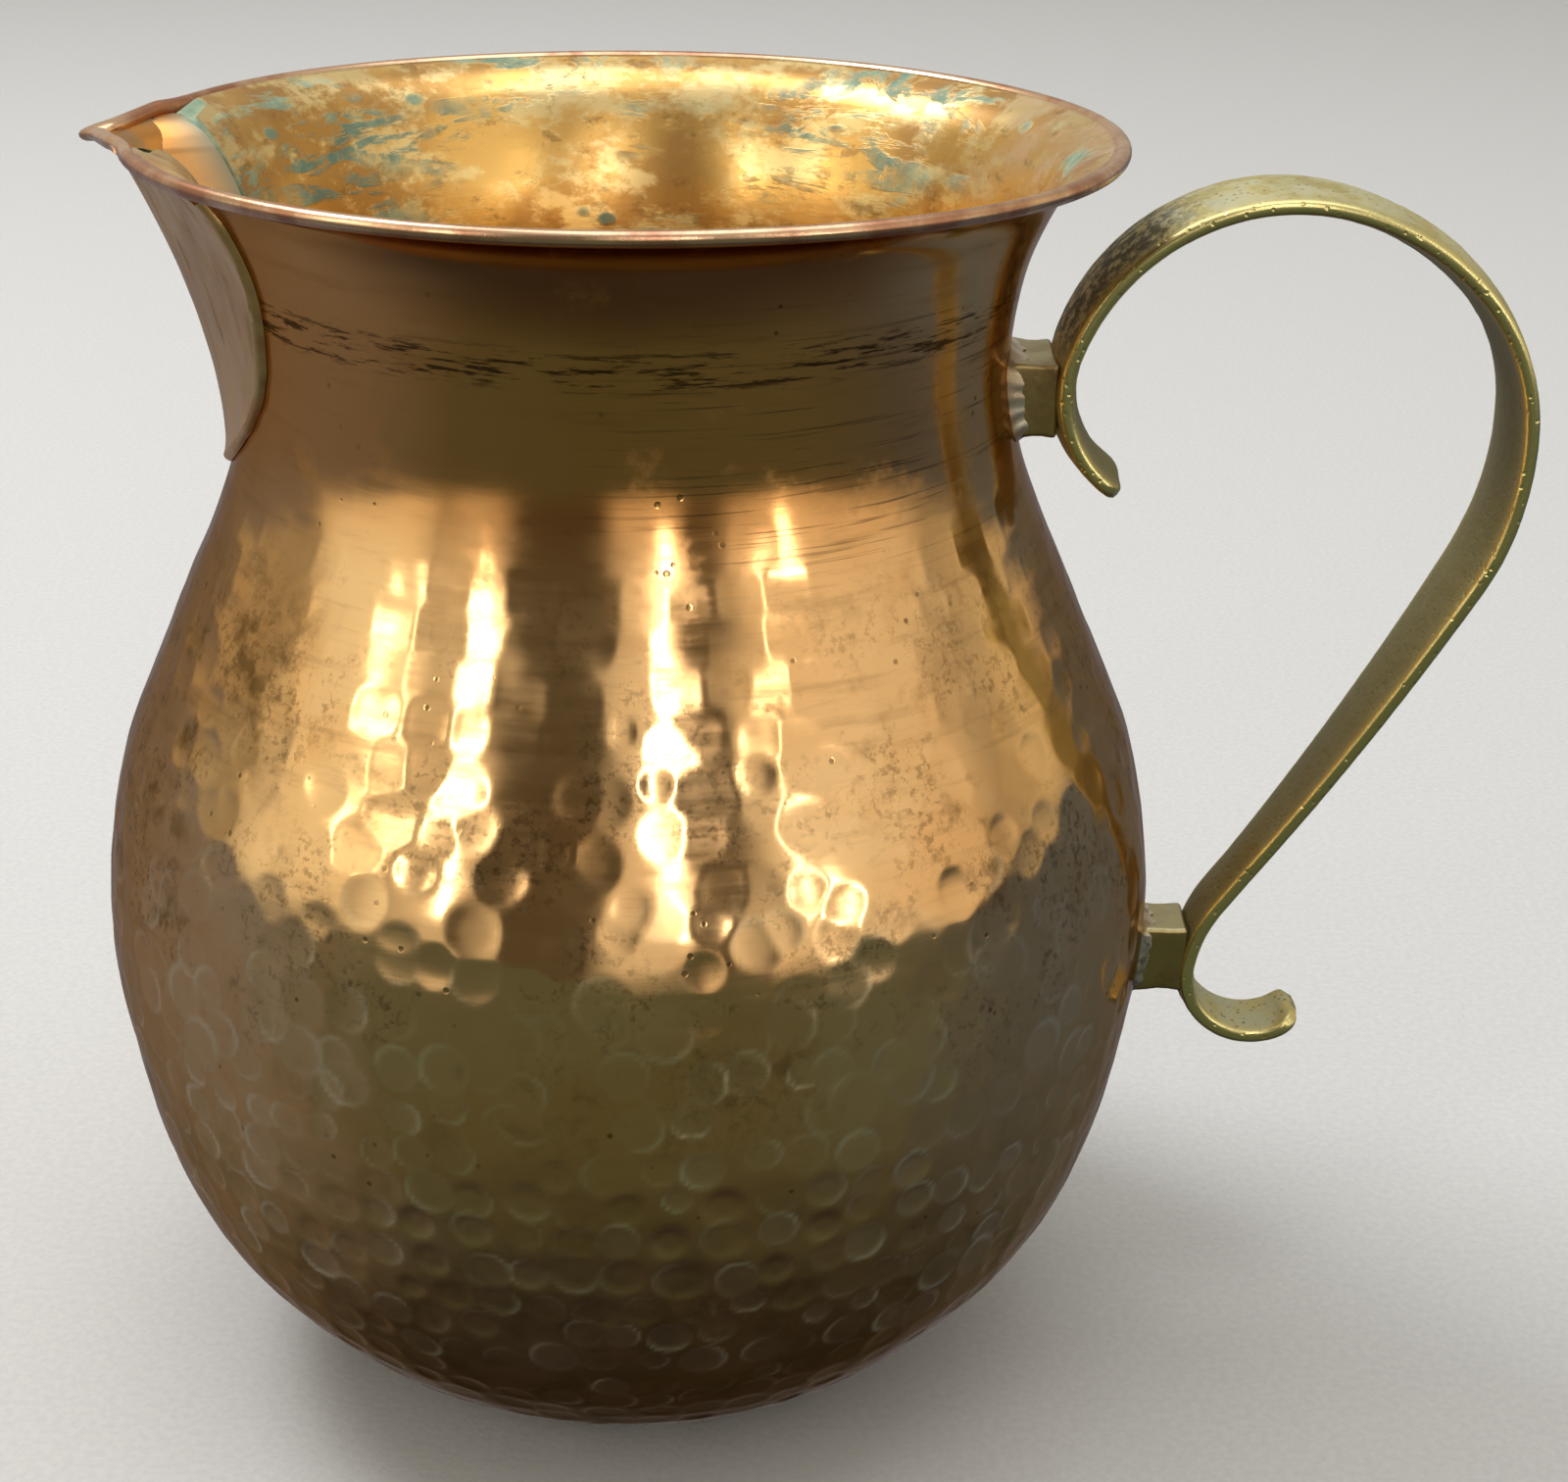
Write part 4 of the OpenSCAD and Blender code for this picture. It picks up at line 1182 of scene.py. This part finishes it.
class JUG_OT_stage(bpy.types.Operator):
    """Set the pale floor, the soft studio light and the camera"""
    bl_idname = "jug.stage"
    bl_label = "Stage"

    def execute(self, context):
        scene = context.scene
        self.floor()
        self.lights()
        self.world(scene)
        self.camera(scene)
        scene.view_settings.view_transform = "Standard"
        return {"FINISHED"}

    def floor(self):
        n = Nodes("pale_floor")
        place = n.place()
        cloth = n.noise(place, 900.0, 4.0, 0.6)
        color = n.mix(n.range(cloth, 0.3, 0.7), (0.64, 0.66, 0.70), (0.70, 0.72, 0.75))
        material = n.finish(color, 0.85, 0.0, n.bump(cloth, 0.2, 0.0004))
        rings = [[(r * math.cos(a), r * math.sin(a), z)
                  for a in np.linspace(0, 2 * math.pi, 64, endpoint=False)]
                 for r, z in ((0.02, 0.0), (0.5, 0.0), (2.0, 0.0), (3.2, 0.0), (3.7, 0.12),
                              (3.95, 0.45), (4.0, 1.2), (4.0, 3.4))]
        points, faces = skin(rings, caps=False)
        faces.append(tuple(range(64)))
        mesh = bpy.data.meshes.new("studio_cove")
        mesh.from_pydata([tuple(q) for q in points], [], faces)
        mesh.polygons.foreach_set("use_smooth", [True] * len(mesh.polygons))
        mesh.materials.append(material)
        cove = bpy.data.objects.new("studio_cove", mesh)
        cove.location.z = -0.0002
        cove.visible_glossy = False
        bpy.context.scene.collection.objects.link(cove)

    def lights(self):
        # Turn from the camera's side and lift in degrees, width and height of the box in metres,
        # power in watts and colour.
        boxes = [
            (-66, 27, 0.055, 0.56, 0.55, (1.0, 0.86, 0.66)),
            (-57, 21, 0.030, 0.30, 0.16, (1.0, 0.88, 0.70)),
            (-40, 25, 0.060, 0.62, 0.90, (1.0, 0.90, 0.74)),
            (9, 24, 0.070, 0.66, 1.30, (1.0, 0.92, 0.80)),
            (35, 22, 0.030, 0.60, 0.34, (1.0, 0.92, 0.80)),
            (42, 10, 0.070, 0.22, 0.36, (1.0, 0.92, 0.82)),
        ]
        target = Vector((0.0, 0.0, 0.08))
        for k, (turn, lift, wide, tall, watts, color) in enumerate(boxes):
            a, e = math.radians(turn + CAMERA_TURN), math.radians(lift)
            d = 1.25
            place = target + Vector((d * math.cos(e) * math.sin(a), -d * math.cos(e) * math.cos(a),
                                     d * math.sin(e)))
            self.area("softbox_%d" % k, place, target, wide, tall, watts, color)
        self.area("key_softbox", Vector((-0.75, 0.35, 1.35)), target, 0.55, 0.55, 11.0,
                  (1.0, 0.97, 0.93))
        self.area("top_softbox", Vector((0.2, 0.1, 1.9)), Vector((0, 0, 0)), 1.4, 1.4, 9.0,
                  (1.0, 0.97, 0.93))

    def area(self, name, place, target, wide, tall, watts, color):
        light = bpy.data.lights.new(name, "AREA")
        light.shape = "RECTANGLE"
        light.size, light.size_y = wide, tall
        light.energy = watts
        light.color = color
        lamp = bpy.data.objects.new(name, light)
        z = (place - target).normalized()
        x = Vector((0, 0, 1)).cross(z)
        x = x.normalized() if x.length > 1e-4 else Vector((1, 0, 0))
        y = z.cross(x)
        m = Matrix((x, y, z)).transposed().to_4x4()
        m.translation = place
        lamp.matrix_world = m
        lamp.visible_camera = False
        bpy.context.scene.collection.objects.link(lamp)

    def world(self, scene):
        """A dim room: bands of warm wall and shade, a pale ceiling, and dark below the table."""
        world = bpy.data.worlds.new("studio")
        scene.world = world
        world.use_nodes = True
        tree = world.node_tree

        def node(kind, operation=None, a=None, b=None):
            made = tree.nodes.new(kind)
            if operation:
                made.operation = operation
            for socket, v in ((0, a), (1, b)):
                if isinstance(v, bpy.types.NodeSocket):
                    tree.links.new(v, made.inputs[socket])
                elif v is not None:
                    made.inputs[socket].default_value = v
            return made

        def blend(low, high, first, second):
            """One colour turns into the other between two heights of the direction."""
            share = node("ShaderNodeMapRange", None, z)
            share.interpolation_type = "SMOOTHSTEP"
            share.inputs["From Min"].default_value = low
            share.inputs["From Max"].default_value = high
            both = node("ShaderNodeMix")
            both.data_type = "RGBA"
            tree.links.new(share.outputs["Result"], both.inputs[0])
            for socket, v in ((both.inputs[6], first), (both.inputs[7], second)):
                if isinstance(v, bpy.types.NodeSocket):
                    tree.links.new(v, socket)
                else:
                    socket.default_value = (*v, 1.0)
            return both.outputs[2]

        place = node("ShaderNodeTexCoord").outputs["Generated"]
        x, y, z = node("ShaderNodeSeparateXYZ", None, place).outputs
        turn = node("ShaderNodeMath", "ARCTAN2", x, node("ShaderNodeMath", "MULTIPLY", y,
                                                         -1.0).outputs[0]).outputs[0]
        turn = node("ShaderNodeMath", "MULTIPLY", turn, 0.5 / math.pi).outputs[0]
        turn = node("ShaderNodeMath", "ADD", turn, 0.5).outputs[0]

        def bands(stops, source):
            made = node("ShaderNodeValToRGB", None, source)
            while len(made.color_ramp.elements) < len(stops):
                made.color_ramp.elements.new(0.5)
            for stop, (at, color) in zip(made.color_ramp.elements, stops):
                stop.position = (at + 180) / 360
                stop.color = (*color, 1.0)
            return made.outputs[0]

        wall, shade = (0.80, 0.70, 0.52), (0.10, 0.085, 0.055)
        above = bands([
            (-180, (0.50, 0.46, 0.38)), (-125, (0.55, 0.50, 0.38)), (-97, (0.36, 0.32, 0.23)),
            (-84, (0.95, 0.88, 0.66)), (-58, (1.00, 0.92, 0.68)), (-50, (0.50, 0.44, 0.32)),
            (-44, (0.74, 0.66, 0.48)), (-33, (0.66, 0.58, 0.42)), (-27, shade), (-5, shade),
            (1, wall), (15, wall), (19, shade), (27, (0.16, 0.14, 0.10)),
            (33, (0.80, 0.72, 0.55)), (52, (0.96, 0.88, 0.70)), (82, (0.80, 0.70, 0.52)),
            (95, (0.42, 0.37, 0.26)), (112, (0.72, 0.62, 0.40)), (135, (0.42, 0.38, 0.30)),
            (180, (0.50, 0.46, 0.38)),
        ], turn)
        below = bands([
            (-180, (0.24, 0.24, 0.26)), (-120, (0.24, 0.24, 0.27)), (-80, (0.20, 0.20, 0.20)),
            (-50, (0.115, 0.125, 0.085)), (0, (0.105, 0.120, 0.075)), (60, (0.110, 0.125, 0.095)),
            (90, (0.09, 0.105, 0.12)), (130, (0.12, 0.15, 0.20)), (180, (0.24, 0.24, 0.26)),
        ], turn)
        below = blend(-0.62, -0.93, below, (0.045, 0.040, 0.038))
        room = blend(-0.05, 0.05, below, above)
        sky = blend(0.62, 0.86, room, (0.62, 0.60, 0.54))
        tree.links.new(sky, tree.nodes["Background"].inputs["Color"])
        tree.nodes["Background"].inputs["Strength"].default_value = 1.0

    def camera(self, scene):
        data = bpy.data.cameras.new("camera")
        data.sensor_width = 36.0
        data.sensor_fit = "HORIZONTAL"
        data.lens = CAMERA_LENS
        data.clip_start = 0.01
        camera = bpy.data.objects.new("camera", data)
        tilt, roll = math.radians(CAMERA_TILT), math.radians(CAMERA_ROLL)
        forward = Vector((0, math.cos(tilt), -math.sin(tilt)))
        up = Vector((0, math.sin(tilt), math.cos(tilt)))
        right = Vector((1, 0, 0))
        x = right * math.cos(roll) + up * math.sin(roll)
        y = up * math.cos(roll) - right * math.sin(roll)
        m = Matrix((x, y, -forward)).transposed().to_4x4()
        m.translation = Vector(CAMERA_PLACE)
        camera.matrix_world = m
        scene.collection.objects.link(camera)
        scene.camera = camera


class JUG_PT_panel(bpy.types.Panel):
    """Lists the jug's pieces"""
    bl_idname = "JUG_PT_panel"
    bl_label = "Hammered Copper Jug"
    bl_space_type = "VIEW_3D"
    bl_region_type = "UI"
    bl_category = "Jug"

    def draw(self, context):
        for owner in ("jug_sizes", "jug_spout", "jug_handle", "jug_finish"):
            box = self.layout.box()
            group = getattr(context.scene, owner)
            for key in group.__annotations__:
                box.prop(group, key)
        for operator in PIECES:
            self.layout.operator(operator.bl_idname)


PIECES = (JUG_OT_body, JUG_OT_spout, JUG_OT_handle, JUG_OT_posts, JUG_OT_stage)
GROUPS = (("jug_sizes", JugSizes), ("jug_spout", SpoutSizes), ("jug_handle", HandleSizes),
          ("jug_finish", JugFinish))


def register():
    for _, group in GROUPS:
        bpy.utils.register_class(group)
    for operator in PIECES:
        bpy.utils.register_class(operator)
    bpy.utils.register_class(JUG_PT_panel)
    for key, group in GROUPS:
        setattr(bpy.types.Scene, key, PointerProperty(type=group))


def unregister():
    for key, _ in GROUPS:
        delattr(bpy.types.Scene, key)
    bpy.utils.unregister_class(JUG_PT_panel)
    for operator in reversed(PIECES):
        bpy.utils.unregister_class(operator)
    for _, group in reversed(GROUPS):
        bpy.utils.unregister_class(group)


def main():
    register()
    bpy.ops.jug.body()
    bpy.ops.jug.spout()
    bpy.ops.jug.handle()
    bpy.ops.jug.posts()
    bpy.ops.jug.stage()


if __name__ == "__main__":
    main()
